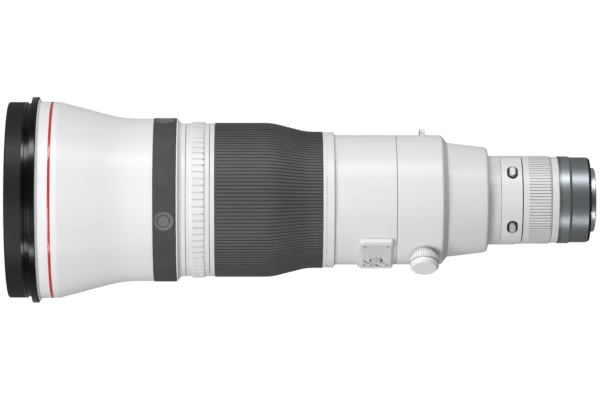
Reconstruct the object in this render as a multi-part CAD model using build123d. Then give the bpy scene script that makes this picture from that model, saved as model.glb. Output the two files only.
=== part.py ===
"""A white super-telephoto camera lens with its rotating tripod collar, in millimetres.

The pieces are drawn in the optical frame: X runs along the optical axis from the front plane towards
the camera, Z is up and +Y is the photographer's right. Each piece is then moved so that the origin is the
centre of the tripod foot's base. Angles round the barrel are in degrees from the top towards -Y.
"""

from build123d import *
import os
from math import cos, radians, sin, sqrt, tan

os.makedirs("parts", exist_ok=True)

# Clearances, all measured on the radius or on one side
RUN = 0.09            # a ring or rod that turns or slides on its journal
SEAT = 0.05           # a piece that is glued, screwed or pressed into its seat
GLUE = 0.1            # layer of adhesive, under the ribbed rubber or round the rim of a lens
GAP = 0.3             # pieces that pass each other without touching
JOINT_LINE = 0.4      # visible line between two rings
EDGE = 0.3            # broken edge of a ring or cap

# Hood mount ring, at the front of the barrel
HOOD_LENGTH = 25.0
HOOD_R = 79.9
HOOD_BORE_R = 77.3
HOOD_MATTE_LENGTH = 13.6
HOOD_LINE = 0.35
HOOD_GROOVE_START = 15.8
HOOD_GROOVE_R = 78.1
HOOD_LAND_START = 17.2
HOOD_LAND_END = 18.3
HOOD_LAND_R = 79.0
HOOD_FLANGE_START = 19.0
HOOD_FLANGE_LENGTH = 5.4
HOOD_FLANGE_R = 84.0
HOOD_BEVEL = 0.9

# Front barrel: a wide cone that runs out into the button band
BARREL_FRONT_R = 80.3
SHOULDER_R = 83.0            # at the very front, against the hood ring's flange
SHOULDER_LENGTH = 2.0
CONE_START_R = 79.9
CONE_START = 16.95     # behind the hood ring
CONE_LENGTH = 51.35
CONE_END_R = 66.3
CONE_START_BLEND = 6.0
CONE_BLEND_R = 94.0
FRONT_SHELL_LENGTH = 93.55
FRONT_WALL = 1.6
BAND_LENGTH = 18.7
BAND_R = 66.85
BAND_THICKNESS = 1.95
LIP_LENGTH = 1.1
LIP_R = 66.15
LIP_SLANT = 0.7
LIP_FILLET = 3.9
LIP_TAIL = 6.3

# Function buttons on the band
BUTTON_COUNT = 4
BUTTON_FIRST_ANGLE = 15.0
BUTTON_CAP_R = 4.4
BUTTON_TRAVEL = 0.6
BUTTON_DEPTH = 3.7
BEZEL_R = 7.7
BEZEL_DISH = 1.3
BEZEL_TUBE_WALL = 0.7
BEZEL_FLOOR = 0.8

# Playback ring
RING_BASE_R = 62.4
PLAYBACK_LENGTH = 18.9
PLAYBACK_CREST_R = 63.55
PLAYBACK_CREST_START = 3.8
PLAYBACK_CREST_LENGTH = 11.4
PLAYBACK_FLUTES = 70
FLUTE_R = 1.0
FLUTE_RISE = 0.1
FLUTE_POCKET_R = 0.75        # small pocket at the rear end of each gap between the pads
FLUTE_POCKET_DEPTH = 0.6     # below the ring's plain surface
SPACER_LENGTH = 3.75

# Centre tube, the journal of the playback and focus rings
TUBE_R = 59.92
TUBE_WALL = 1.4
TUBE_LEAD = 23.4      # how far it reaches forward of the playback ring
JOURNAL_LENGTH = 9.0
JOURNAL_RELIEF = 0.6

# Focus ring: a metal sleeve with a ribbed rubber grip that necks down towards the camera
GRIP_LENGTH = 87.1
GRIP_R = 62.9
GRIP_REAR_R = 55.65
GRIP_NECK_START = 45.8
GRIP_NECK_LENGTH = 28.6
GRIP_BLEND_R = 48.0
GRIP_RIBS = 131
RIB_GROOVE = 1.3
RIB_DEPTH = 0.55
RUBBER = 2.2
SLEEVE = 1.6

# Rear grip ring and main barrel
REAR_RING_LENGTH = 11.8
REAR_RING_R = 55.3
REAR_RING_STEP = 2.5
RING_LINE = 0.8
REAR_RING_SHOULDER = 8.9
MAIN_R = 52.85
MAIN_LENGTH = 47.55
MAIN_WALL = 2.5
TUBE_SPIGOT = 12.0

# Tripod collar
COLLAR_LENGTH = 41.1
COLLAR_R = 52.75
COLLAR_WALL = 2.5
LINER = 0.95
LINER_WIDTH = 9.0
COLLAR_SLOPE = 4.3
COLLAR_REAR_R = 47.1
COLLAR_LIP = 1.8

# Lock knob on the collar, with its screw and clamp shoe
KNOB_ANGLE = 57.0
KNOB_FROM_COLLAR_FRONT = 22.15
KNOB_R = 11.65
KNOB_HEIGHT = 11.9
KNOB_FOOT = 1.3
KNOB_KNURL = 6.4
KNOB_NECK = 0.9
KNOB_FLUTES = 40
KNOB_BOSS_R = 10.4
KNOB_BOSS_HEIGHT = 1.3
LOCK_SCREW_R = 3.0
SHOE_SIDE = 13.0
SHOE_THICKNESS = 1.8
SHOE_LIFT = 0.6

# Strap lugs
LUG_FROM_COLLAR_FRONT = 21.55
LUG_WIDTH = 4.1
LUG_HEIGHT = 4.6
LUG_LENGTH = 24.0
LUG_SLOT = 17.0
LUG_BAR = 1.7

# Tripod foot
AXIS_HEIGHT = 108.0
FOOT_LENGTH = 152.0
FOOT_WIDTH = 38.0
FOOT_THICKNESS = 12.0
FOOT_REAR_OVERHANG = 5.0      # behind the collar pad
PAD_LENGTH = 34.0
PAD_SET_BACK = 0.55           # behind the front edge of the collar
PAD_WIDTH = 46.0
PAD_DROP = 60.0              # from the optical axis down to the joint with the foot
FLANGE_THICKNESS = 8.0
STEM_WIDTH = 22.0
FOOT_SCREW_R = 2.5
FOOT_SCREW_HEAD_R = 4.2
FOOT_SCREW_HEAD = 4.6
FOOT_SCREW_SPACING_X = 22.0
FOOT_SCREW_SPACING_Y = 34.0
FOOT_SCREW_LENGTH = 12.0
QUARTER_INCH_R = 2.6
THREE_EIGHTHS_R = 4.0
THREAD_DEPTH = 9.5
THREAD_SPACING = 27.0
THREAD_FROM_FRONT = 42.0

# Switch panels
PANEL_LENGTH = 27.6
PANEL_SPAN = 34.6
PANEL_HEIGHT = 55.6          # its face, from the optical axis
PANEL_BEVEL = 2.0
PANEL_CORNER = 2.6
PANEL_FROM_COLLAR = 2.95
PANEL_ANGLE = 55.0
PANEL_TURN = 35.5
PANEL_SCREW_X = 9.2
PANEL_SCREW_T = 13.0
PANEL_SCREW_R = 1.35
SWITCH_DEPTH = 1.5
SWITCH_PROUD = 0.2
SWITCH_STEM = 1.2
SWITCH_RIDGES = 3
# Each switch: place along the barrel, place round it towards -Y, pocket width, travel each way, slider length,
# rest place
STABILISER_MODE = {"x": 0.0, "t": 6.9, "width": 6.8, "travel": 4.5, "slider": 6.4, "rest": 0.0}
STABILISER_ON = {"x": 0.0, "t": 13.4, "width": 3.2, "travel": 1.8, "slider": 4.2, "rest": -1.8}
FOCUS_MODE = {"x": 0.0, "t": -9.6, "width": 3.8, "travel": 1.9, "slider": 4.6, "rest": -1.9}
FOCUS_RANGE = {"x": 0.0, "t": -1.6, "width": 3.8, "travel": 3.8, "slider": 4.8, "rest": 0.0}
PRESET_MODE = {"x": -4.6, "t": 6.6, "width": 3.8, "travel": 1.9, "slider": 4.6, "rest": -1.9}
PANEL_SWITCHES = ((STABILISER_MODE, STABILISER_ON), (FOCUS_MODE, FOCUS_RANGE, PRESET_MODE))
PRESET_BUTTON_X = 7.4
PRESET_BUTTON_T = 6.6
PRESET_BUTTON_R = 2.3
PRESET_BUTTON_TRAVEL = 0.5

# Neck and rear barrel
NECK_LENGTH = 33.0
NECK_R = 46.6
NECK_REAR_R = 42.6
NECK_CORNER = 3.0
NECK_WALL = 2.2
NECK_SPIGOT = 12.0
REAR_R = 35.9
REAR_BORE_R = 30.5
REAR_SPIGOT = 5.0
FILTER_SECTION = 27.75        # from the neck to the control ring
CONTROL_LENGTH = 23.3
CONTROL_R = 35.8
CONTROL_JOURNAL_R = 33.3
CONTROL_GROOVES = 88
CONTROL_GROOVE = 0.7
CONTROL_GROOVE_DEPTH = 1.2
CONTROL_BEVEL = 1.6
CONTROL_BAND = 4.5           # plain band in front of the grooves
END_RING_LENGTH = 5.4
END_RING_R = 35.0
PAD_ARC = 24.0
PAD_PROUD = 0.6

# Drop-in filter holder
COVER_START = 10.2            # behind the neck
COVER_LENGTH = 17.0
COVER_THICKNESS = 3.4
COVER_HALF_ANGLE = 71.0
FRAME_SET_BACK = 0.6         # behind the middle of the cover
FRAME_THICKNESS = 6.8
FRAME_R = 28.8
FILTER_R = 26.0
FILTER_THICKNESS = 2.2
FILTER_CLEAR_R = 25.0
RELEASE_ANGLE = 38.5
RELEASE_WELL_WIDTH = 7.8      # at its floor; its walls slope outwards
RELEASE_WELL_LENGTH = 11.8
RELEASE_WELL_SLOPE = 14.0
RELEASE_WELL_DEPTH = 2.3
RELEASE_WIDTH = 5.4
RELEASE_LENGTH = 9.4
RELEASE_PROUD = 1.4
RELEASE_TRAVEL = 1.0
RELEASE_STEM_R = 1.6
RELEASE_STEM = 4.0

# Camera mount
MOUNT_BAND_LENGTH = 8.4
MOUNT_BAND_R = 35.5
MOUNT_TAPER = 2.2
MOUNT_LENGTH = 24.1
MOUNT_R = 34.7
MOUNT_BORE_R = 31.5
MOUNT_WALL_END = 4.1
FLANGE_R = 33.0
FLANGE_DISC = 1.3
GASKET_R = 34.1
GASKET_LENGTH = 1.9
BAYONET_R = 25.2
BAYONET_BORE_R = 22.6
BAYONET_LENGTH = 5.1
BAYONET_TAB_R = 26.0
BAYONET_TAB = 2.6
BAYONET_TAB_ARC = 62.0
MOUNT_SCREW_PCD = 58.0
MOUNT_SCREW_R = 1.0
MOUNT_SCREW_HEAD_R = 1.9
CONTACTS = 12
CONTACT_R = 0.55
INDEX_R = 1.3
INDEX_FROM_FACE = 3.6
MOUNT_SPIGOT = 5.9

# Optics and the mechanisms that carry them
FRONT_ELEMENT_R = 75.3
FRONT_ELEMENT_EDGE = 4.0
FRONT_ELEMENT_SAG = 7.5      # how far the face bulges at its middle
FRONT_ELEMENT_SET_BACK = 22.0
CELL_WALL = 1.8
CELL_LENGTH = 22.0
RETAINER_LENGTH = 5.0
RETAINER_WALL = 2.0
MIDDLE_LENS_R = 50.0
MIDDLE_LENS_EDGE = 9.0
MIDDLE_LENS_SAGS = (5.5, 2.5)
MIDDLE_LIP = 1.5
MIDDLE_LENS_SET_BACK = 24.0   # in front of the neck-down of the grip
RAIL_R = 2.0
RAIL_OFFSET = 40.0
RAIL_SPAN = 58.0
RAIL_PLATE = 3.0
RAIL_ANGLES = (90, -90)
CARRIAGE_R = 36.5
CARRIAGE_LENGTH = 12.0
FOCUS_LENS_R = 26.0
FOCUS_LENS_EDGE = 5.0
FOCUS_LENS_SAGS = (2.0, -1.5)
FOCUS_LIP = 1.2
MOTOR_WIDTH = 12.0
MOTOR_HEIGHT = 6.0
STABILISER_R = 44.4
STABILISER_DEPTH = 13.0
STABILISER_PLATE = 3.0
STABILISER_LENS_R = 22.0
STABILISER_LENS_EDGE = 4.0
STABILISER_LENS_SAGS = (-1.2, 1.4)
APERTURE_LENGTH = 9.0
APERTURE_OPEN_R = 19.0
BLADES = 9
BLADE_THICKNESS = 0.25
REAR_LENS_R = 22.0
REAR_LENS_EDGE = 6.0
REAR_LENS_SAGS = (2.0, 2.5)
LAST_LENS_R = 20.0
LAST_LENS_EDGE = 4.0
LAST_LENS_SAGS = (-1.0, 2.2)
SMALL_LIP = 1.0              # inward lip of a small lens's cell
BOARD_THICKNESS = 1.6

# Stations along the optical axis
X_SHELL = HOOD_LENGTH
X_BAND = X_SHELL + FRONT_SHELL_LENGTH
X_LIP = X_BAND + BAND_LENGTH
X_SHELL_END = X_LIP + LIP_LENGTH + LIP_TAIL
X_PLAYBACK = X_SHELL_END + JOINT_LINE
X_SPACER = X_PLAYBACK + PLAYBACK_LENGTH + JOINT_LINE
X_GRIP = X_SPACER + SPACER_LENGTH + GAP
X_GRIP_END = X_GRIP + GRIP_LENGTH
X_REAR_RING = X_GRIP_END + GAP
X_MAIN = X_REAR_RING + REAR_RING_LENGTH
X_COLLAR = X_MAIN + MAIN_LENGTH + JOINT_LINE
X_COLLAR_END = X_COLLAR + COLLAR_LENGTH
X_NECK = X_COLLAR_END + GAP
X_REAR = X_NECK + NECK_LENGTH
X_CONTROL = X_REAR + FILTER_SECTION + GAP
X_END_RING = X_CONTROL + CONTROL_LENGTH + GAP
X_MOUNT = X_END_RING + END_RING_LENGTH
X_MOUNT_FACE = X_MOUNT + MOUNT_LENGTH
X_FLANGE = X_MOUNT_FACE + FLANGE_DISC
X_TUBE = X_PLAYBACK - TUBE_LEAD

# Sizes that follow from the ones above
SLEEVE_R = GRIP_R - RUBBER - GLUE
FOCUS_JOURNAL_R = SLEEVE_R - SLEEVE - RUN
FOCUS_REAR_JOURNAL_R = GRIP_REAR_R - RUBBER - GLUE - SLEEVE - RUN
X_NECK_DOWN = X_GRIP + GRIP_NECK_START
X_NECKED = X_NECK_DOWN + GRIP_NECK_LENGTH
JOURNAL_R = COLLAR_R - COLLAR_WALL - LINER - SEAT - RUN
MAIN_BORE_R = MAIN_R - MAIN_WALL
REAR_MAIN_BORE_R = NECK_R + SEAT
TUBE_SPIGOT_R = MAIN_BORE_R - SEAT
CELL_R = HOOD_BORE_R - SEAT
BAND_SEAT_R = BAND_R - BAND_THICKNESS
BUTTON_X = X_BAND + BAND_LENGTH / 2
PANEL_X = X_COLLAR - PANEL_FROM_COLLAR - PANEL_LENGTH / 2
KNOB_X = X_COLLAR + KNOB_FROM_COLLAR_FRONT
LUG_X = X_COLLAR + LUG_FROM_COLLAR_FRONT
COVER_X = X_REAR + COVER_START + COVER_LENGTH / 2
FILTER_X = COVER_X + FRAME_SET_BACK
PAD_X = X_COLLAR + PAD_LENGTH / 2 + PAD_SET_BACK
FOOT_END = PAD_X + PAD_LENGTH / 2 + FOOT_REAR_OVERHANG
FOOT_X = FOOT_END - FOOT_LENGTH / 2
FOOT_TOP = AXIS_HEIGHT - FOOT_THICKNESS
BUTTON_ANGLES = [BUTTON_FIRST_ANGLE + 360 * i / BUTTON_COUNT for i in range(BUTTON_COUNT)]
BEZEL_TUBE_R = BUTTON_CAP_R + RUN + BEZEL_TUBE_WALL
BEZEL_REACH = BUTTON_DEPTH + BUTTON_TRAVEL + BEZEL_FLOOR + GAP
PANEL_ANGLES = (PANEL_ANGLE, PANEL_ANGLE + PANEL_TURN)
PANEL_BASE = sqrt(MAIN_R ** 2 - (PANEL_SPAN / 2) ** 2) - 0.8
SHOE_TOP = JOURNAL_R + RUN + SHOE_THICKNESS
FLANGE_GRIP = FLANGE_THICKNESS - FOOT_SCREW_HEAD
FLANGE_BORE_R = BAYONET_R + 1.2
INDEX_X = X_MOUNT_FACE - INDEX_FROM_FACE
MIDDLE_X = X_NECK_DOWN - MIDDLE_LENS_SET_BACK
MIDDLE_CELL_R = FOCUS_JOURNAL_R - TUBE_WALL - JOURNAL_RELIEF - SEAT
RAIL_START = X_NECK - NECK_SPIGOT - SEAT - RAIL_SPAN
CARRIAGE_X = RAIL_START + RAIL_SPAN / 2
STABILISER_X = X_NECK - NECK_SPIGOT + STABILISER_PLATE
YAW_X = STABILISER_X + STABILISER_PLATE + GAP
PITCH_X = YAW_X + STABILISER_PLATE + GAP
APERTURE_X = STABILISER_X + STABILISER_DEPTH + 0.5
REAR_LENS_X = X_CONTROL + 4.0
LAST_X = X_MOUNT - 2.0

# Where the screws and threads sit
PANEL_SCREW_PLACES = [
    radial_place * Pos(x, t, 0)
    for radial_place in [Pos(PANEL_X, 0, 0) * Rot(angle, 0, 0) for angle in PANEL_ANGLES]
    for x in (-PANEL_SCREW_X, PANEL_SCREW_X)
    for t in (-PANEL_SCREW_T, PANEL_SCREW_T)
]
FOOT_SCREW_PLACES = [
    Pos(PAD_X + i * FOOT_SCREW_SPACING_X / 2, j * FOOT_SCREW_SPACING_Y / 2, 0) for i in (-1, 1) for j in (-1, 1)
]
THREAD_PLACES = (
    (Pos(FOOT_END - FOOT_LENGTH + THREAD_FROM_FRONT, 0, 0), QUARTER_INCH_R),
    (Pos(FOOT_END - FOOT_LENGTH + THREAD_FROM_FRONT + THREAD_SPACING, 0, 0), THREE_EIGHTHS_R),
)
MOUNT_SCREW_PLACES = [
    Pos(X_MOUNT_FACE, 0, 0) * Rot(45 + 90 * i, 0, 0) * Pos(0, 0, MOUNT_SCREW_PCD / 2) for i in range(4)
]


def turned(*corners):
    """A ring about the optical axis. Each corner of its section is (x, radius) or (x, radius, fillet)."""
    points = [(corner[0], corner[1]) for corner in corners]
    fillets = [corner[2] if len(corner) > 2 else 0 for corner in corners]
    section = make_face(FilletPolyline(*points, radius=fillets, close=True))
    return revolve(section, Axis.X, 360)


def tube(start, end, inner, outer):
    """A plain ring about the optical axis."""
    return turned((start, inner), (start, outer), (end, outer), (end, inner))


def turned_up(*corners):
    """A solid or ring about the local Z axis. Each corner is (radius, z) or (radius, z, fillet)."""
    points = [(corner[0], 0, corner[1]) for corner in corners]
    fillets = [corner[2] if len(corner) > 2 else 0 for corner in corners]
    section = make_face(FilletPolyline(*points, radius=fillets, close=True))
    return revolve(section, Axis.Z, 360)


def radial(x, angle, height=0.0):
    """A place on the barrel: local Z points outwards, local X runs along the optical axis."""
    return Pos(x, 0, 0) * Rot(angle, 0, 0) * Pos(0, 0, height)


def rod(radius, bottom, top):
    """A cylinder about the local Z axis, from bottom to top."""
    return Pos(0, 0, bottom) * Cylinder(radius, top - bottom, align=(Align.CENTER, Align.CENTER, Align.MIN))


def block(size_x, size_y, bottom, top):
    """A box centred on the local Z axis, from bottom to top."""
    return Pos(0, 0, bottom) * Box(size_x, size_y, top - bottom, align=(Align.CENTER, Align.CENTER, Align.MIN))


def round_turns(shape, count):
    """Copies of a shape, evenly round the optical axis."""
    return [Rot(360 * i / count, 0, 0) * shape for i in range(count)]


def sector(start, end, radius, middle, arc):
    """A wedge of a cylinder about the optical axis, arc degrees wide, centred on an angle."""
    corners = [(0, 0)]
    steps = 4
    reach = radius / cos(radians(arc / steps / 2))
    for i in range(steps + 1):
        angle = radians(middle - arc / 2 + arc * i / steps)
        corners.append((-reach * sin(angle), reach * cos(angle)))
    face = make_face(Polyline(*corners, close=True))
    plane = Plane(origin=(start, 0, 0), x_dir=(0, 1, 0), z_dir=(1, 0, 0))
    return extrude(plane * face, end - start)


def lens(front, edge, radius, front_sag, rear_sag):
    """A lens element whose rim starts at front. A positive sag bulges outwards."""
    def side(x, sag, outwards):
        rim = (x, radius)
        vertex = (x + outwards * sag, 0)
        if sag == 0:
            return Line(vertex, rim)
        curve_r = (radius ** 2 + sag ** 2) / (2 * abs(sag))
        half = curve_r - sqrt(curve_r ** 2 - radius ** 2 / 4)
        middle = (x + outwards * (sag - half * (1 if sag > 0 else -1)), radius / 2)
        return ThreePointArc(vertex, middle, rim)

    before = side(front, front_sag, -1)
    behind = side(front + edge, rear_sag, 1)
    outline = (
        before
        + behind
        + Line((front, radius), (front + edge, radius))
        + Line((front - front_sag, 0), (front + edge + rear_sag, 0))
    )
    return revolve(make_face(outline), Axis.X, 360)


def bulge(radius, lip, sag):
    """How far a lens face stands out past its rim where a cell's lip ends."""
    return sag * (1 - (1 - lip / radius) ** 2)


def joined(shapes):
    """One compound of separate solids."""
    return Compound(children=[solid for shape in shapes for solid in shape.solids()])


# ---------------------------------------------------------------- hood mount ring and front barrel
def hood_mount_ring():
    line_end = HOOD_MATTE_LENGTH + HOOD_LINE
    flange_end = HOOD_FLANGE_START + HOOD_FLANGE_LENGTH
    return turned(
        (0, HOOD_BORE_R, 0.5),
        (0, HOOD_R, 1.8),
        (HOOD_MATTE_LENGTH, HOOD_R),
        (HOOD_MATTE_LENGTH, HOOD_R - HOOD_LINE),
        (line_end, HOOD_R - HOOD_LINE),
        (line_end, HOOD_R),
        (HOOD_GROOVE_START, HOOD_R, EDGE),
        (HOOD_GROOVE_START + 0.4, HOOD_GROOVE_R),
        (HOOD_LAND_START, HOOD_GROOVE_R),
        (HOOD_LAND_START, HOOD_LAND_R, 0.2),
        (HOOD_LAND_END, HOOD_LAND_R, 0.2),
        (HOOD_LAND_END, HOOD_GROOVE_R),
        (HOOD_FLANGE_START, HOOD_GROOVE_R),
        (HOOD_FLANGE_START + HOOD_BEVEL, HOOD_FLANGE_R, EDGE),
        (flange_end, HOOD_FLANGE_R, 0.2),
        (HOOD_LENGTH, SHOULDER_R + 0.2),
        (HOOD_LENGTH, HOOD_BORE_R),
    )


def front_barrel():
    cone_start = X_SHELL + CONE_START
    cone_end = cone_start + CONE_LENGTH
    lip_end = X_LIP + LIP_LENGTH
    shell = turned(
        (X_SHELL, HOOD_BORE_R),
        (X_SHELL, SHOULDER_R, 0.2),
        (X_SHELL + SHOULDER_LENGTH, BARREL_FRONT_R, 0.5),
        (cone_start, CONE_START_R, CONE_START_BLEND),
        (cone_end, CONE_END_R, CONE_BLEND_R),
        (X_BAND, CONE_END_R, EDGE),
        (X_BAND, BAND_SEAT_R),
        (X_LIP, BAND_SEAT_R),
        (X_LIP, LIP_R, EDGE),
        (lip_end, LIP_R, EDGE),
        (lip_end + LIP_SLANT, RING_BASE_R, LIP_FILLET),
        (X_SHELL_END, RING_BASE_R, 0.2),
        (X_SHELL_END, TUBE_R + SEAT),
        (X_TUBE + 1.0, TUBE_R + SEAT),
        (cone_end + FRONT_WALL, CONE_END_R - FRONT_WALL, 60),
        (cone_start + CELL_WALL, HOOD_BORE_R),
    )
    pocket = rod(BEZEL_TUBE_R + SEAT, BAND_R - BEZEL_REACH - SEAT, BAND_R + 1)
    shell -= [radial(BUTTON_X, angle) * pocket for angle in BUTTON_ANGLES]
    return shell


def button_band():
    band = turned(
        (X_BAND + SEAT, BAND_SEAT_R + SEAT),
        (X_BAND + SEAT, BAND_R, EDGE),
        (X_LIP - SEAT, BAND_R, EDGE),
        (X_LIP - SEAT, BAND_SEAT_R + SEAT),
    )
    hole = rod(BEZEL_R + SEAT, BAND_SEAT_R / 2, BAND_R + 2)
    return band - [radial(BUTTON_X, angle) * hole for angle in BUTTON_ANGLES]


def button_bezels():
    seat = tube(X_BAND - 5, X_LIP + 5, BAND_SEAT_R - 6, BAND_SEAT_R + SEAT)
    bore_r = BUTTON_CAP_R + RUN
    floor = BAND_R - BEZEL_REACH
    bezels = []
    for angle in BUTTON_ANGLES:
        place = radial(BUTTON_X, angle)
        flange = turned_up(
            (0, BAND_SEAT_R - 1.5),
            (BEZEL_R, BAND_SEAT_R - 1.5),
            (BEZEL_R, BAND_R, EDGE),
            (BEZEL_R - 0.9, BAND_R, 0.2),
            (BUTTON_CAP_R + 0.6, BAND_R - BEZEL_DISH),
            (0, BAND_R - BEZEL_DISH),
        )
        flange = place * flange - seat
        stem = place * rod(BEZEL_TUBE_R, floor, BAND_R - BEZEL_DISH)
        bore = place * rod(bore_r, floor + BEZEL_FLOOR, BAND_R + 1)
        bezels.append(flange + stem - bore)
    return joined(bezels)


def function_button(angle):
    top = BAND_R - 0.3
    cap = turned_up(
        (0, top - BUTTON_DEPTH),
        (BUTTON_CAP_R, top - BUTTON_DEPTH),
        (BUTTON_CAP_R, top, 0.7),
        (BUTTON_CAP_R * 0.5, top - 0.05, 1.0),
        (0, top - 0.25),
    )
    return radial(BUTTON_X, angle) * cap


# ---------------------------------------------------------------- playback ring, centre tube, focus ring
def playback_ring():
    start = X_PLAYBACK + PLAYBACK_CREST_START
    end = start + PLAYBACK_CREST_LENGTH
    x_end = X_PLAYBACK + PLAYBACK_LENGTH
    ring = turned(
        (X_PLAYBACK, TUBE_R + RUN),
        (X_PLAYBACK, RING_BASE_R, EDGE),
        (start, RING_BASE_R, 0.5),
        (start + 1.4, PLAYBACK_CREST_R, 0.6),
        (end - 0.5, PLAYBACK_CREST_R, EDGE),
        (end, RING_BASE_R),
        (x_end, RING_BASE_R, EDGE),
        (x_end, TUBE_R + RUN),
    )
    flute = Pos(start + PLAYBACK_CREST_LENGTH / 2, 0, PLAYBACK_CREST_R + FLUTE_RISE) * Rot(0, 90, 0) * Cylinder(
        FLUTE_R, PLAYBACK_CREST_LENGTH + 0.4
    )
    flute += Pos(end - FLUTE_POCKET_R - EDGE, 0, 0) * rod(
        FLUTE_POCKET_R, RING_BASE_R - FLUTE_POCKET_DEPTH, PLAYBACK_CREST_R + 1
    )
    return ring - round_turns(flute, PLAYBACK_FLUTES)


def spacer_ring():
    end = X_SPACER + SPACER_LENGTH
    line = X_SPACER + SPACER_LENGTH * 0.55
    return turned(
        (X_SPACER, TUBE_R + SEAT),
        (X_SPACER, RING_BASE_R, EDGE),
        (line, RING_BASE_R),
        (line + 0.15, RING_BASE_R - 0.25),
        (line + 0.3, RING_BASE_R),
        (end, RING_BASE_R, EDGE),
        (end, TUBE_R + SEAT),
    )


def grip_line(drop, start, end):
    """Corners of the focus grip's necked outline, lowered by drop."""
    return [
        (start, GRIP_R - drop),
        (X_NECK_DOWN, GRIP_R - drop, GRIP_BLEND_R),
        (X_NECKED, GRIP_REAR_R - drop, GRIP_BLEND_R),
        (end, GRIP_REAR_R - drop),
    ]


def centre_tube():
    relief = JOURNAL_RELIEF
    front_land = X_GRIP + JOURNAL_LENGTH
    rear_land = X_GRIP_END - JOURNAL_LENGTH
    lead = GRIP_BLEND_R * tan(radians(7.0)) + 1.0
    outer = [
        (X_TUBE, TUBE_R),
        (X_SPACER + SPACER_LENGTH + SEAT, TUBE_R),
        (X_SPACER + SPACER_LENGTH + SEAT, FOCUS_JOURNAL_R),
        (front_land, FOCUS_JOURNAL_R),
        (front_land, FOCUS_JOURNAL_R - relief),
        (X_NECK_DOWN - lead, FOCUS_JOURNAL_R - relief),
        (X_NECKED - lead, FOCUS_REAR_JOURNAL_R - relief),
        (rear_land, FOCUS_REAR_JOURNAL_R - relief),
        (rear_land, FOCUS_REAR_JOURNAL_R),
        (X_MAIN - SEAT, FOCUS_REAR_JOURNAL_R),
        (X_MAIN - SEAT, TUBE_SPIGOT_R),
        (X_MAIN + TUBE_SPIGOT, TUBE_SPIGOT_R),
    ]
    wall = TUBE_WALL + relief
    inner = [
        (X_MAIN + TUBE_SPIGOT, TUBE_SPIGOT_R - TUBE_WALL),
        (X_NECKED - lead, FOCUS_REAR_JOURNAL_R - wall),
        (X_NECK_DOWN - lead, FOCUS_JOURNAL_R - wall),
        (X_TUBE, FOCUS_JOURNAL_R - wall),
    ]
    return turned(*outer, *inner)


def focus_sleeve():
    return turned(
        *grip_line(RUBBER + GLUE, X_GRIP, X_GRIP_END),
        *reversed(grip_line(RUBBER + GLUE + SLEEVE, X_GRIP, X_GRIP_END)),
    )


def focus_grip():
    rubber = turned(
        *grip_line(0, X_GRIP, X_GRIP_END),
        *reversed(grip_line(RUBBER, X_GRIP, X_GRIP_END)),
    )
    floor = grip_line(RIB_DEPTH, X_GRIP - 1, X_GRIP_END + 1)
    points = [(c[0], c[1]) for c in floor] + [(X_GRIP_END + 1, GRIP_R + 2), (X_GRIP - 1, GRIP_R + 2)]
    bends = [0, GRIP_BLEND_R, GRIP_BLEND_R, 0, 0, 0]
    section = make_face(FilletPolyline(*points, radius=bends, close=True))
    groove = extrude(section, RIB_GROOVE / 2, both=True)
    return rubber - round_turns(groove, GRIP_RIBS)


# ---------------------------------------------------------------- rear grip ring and main barrel
def rear_grip_ring():
    step = X_REAR_RING + REAR_RING_STEP
    shoulder = X_REAR_RING + REAR_RING_SHOULDER
    return turned(
        (X_REAR_RING, FOCUS_REAR_JOURNAL_R + SEAT),
        (X_REAR_RING, REAR_RING_R, EDGE),
        (step, REAR_RING_R),
        (step, REAR_RING_R - RING_LINE),
        (step + RING_LINE, REAR_RING_R - RING_LINE),
        (step + RING_LINE, REAR_RING_R),
        (shoulder, REAR_RING_R, EDGE),
        (shoulder + 0.6, MAIN_R, 1.8),
        (X_MAIN, MAIN_R),
        (X_MAIN, FOCUS_REAR_JOURNAL_R + SEAT),
    )


def main_barrel():
    end = X_COLLAR_END - COLLAR_LIP - GAP
    step = X_MAIN + MAIN_LENGTH
    bore_step = X_COLLAR - MAIN_WALL * 2
    barrel = turned(
        (X_MAIN + SEAT, MAIN_BORE_R),
        (X_MAIN + SEAT, MAIN_R),
        (step, MAIN_R, EDGE),
        (step, JOURNAL_R),
        (end, JOURNAL_R),
        (end, REAR_MAIN_BORE_R),
        (bore_step, REAR_MAIN_BORE_R),
        (bore_step - 1.5, MAIN_BORE_R),
    )
    screw = rod(PANEL_SCREW_R * 0.6 + SEAT, MAIN_R - 1.6, MAIN_R + 3)
    for place in PANEL_SCREW_PLACES:
        barrel -= place * screw
    return barrel


# ---------------------------------------------------------------- switch panels
def pocket_length(switch):
    """Length of the round-ended pocket in which a switch's square slider has its travel each way."""
    half = switch["width"] / 2
    corner = half - sqrt(half ** 2 - (half - GAP) ** 2)
    return 2 * (switch["travel"] + switch["slider"] / 2 + corner + GAP)


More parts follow.
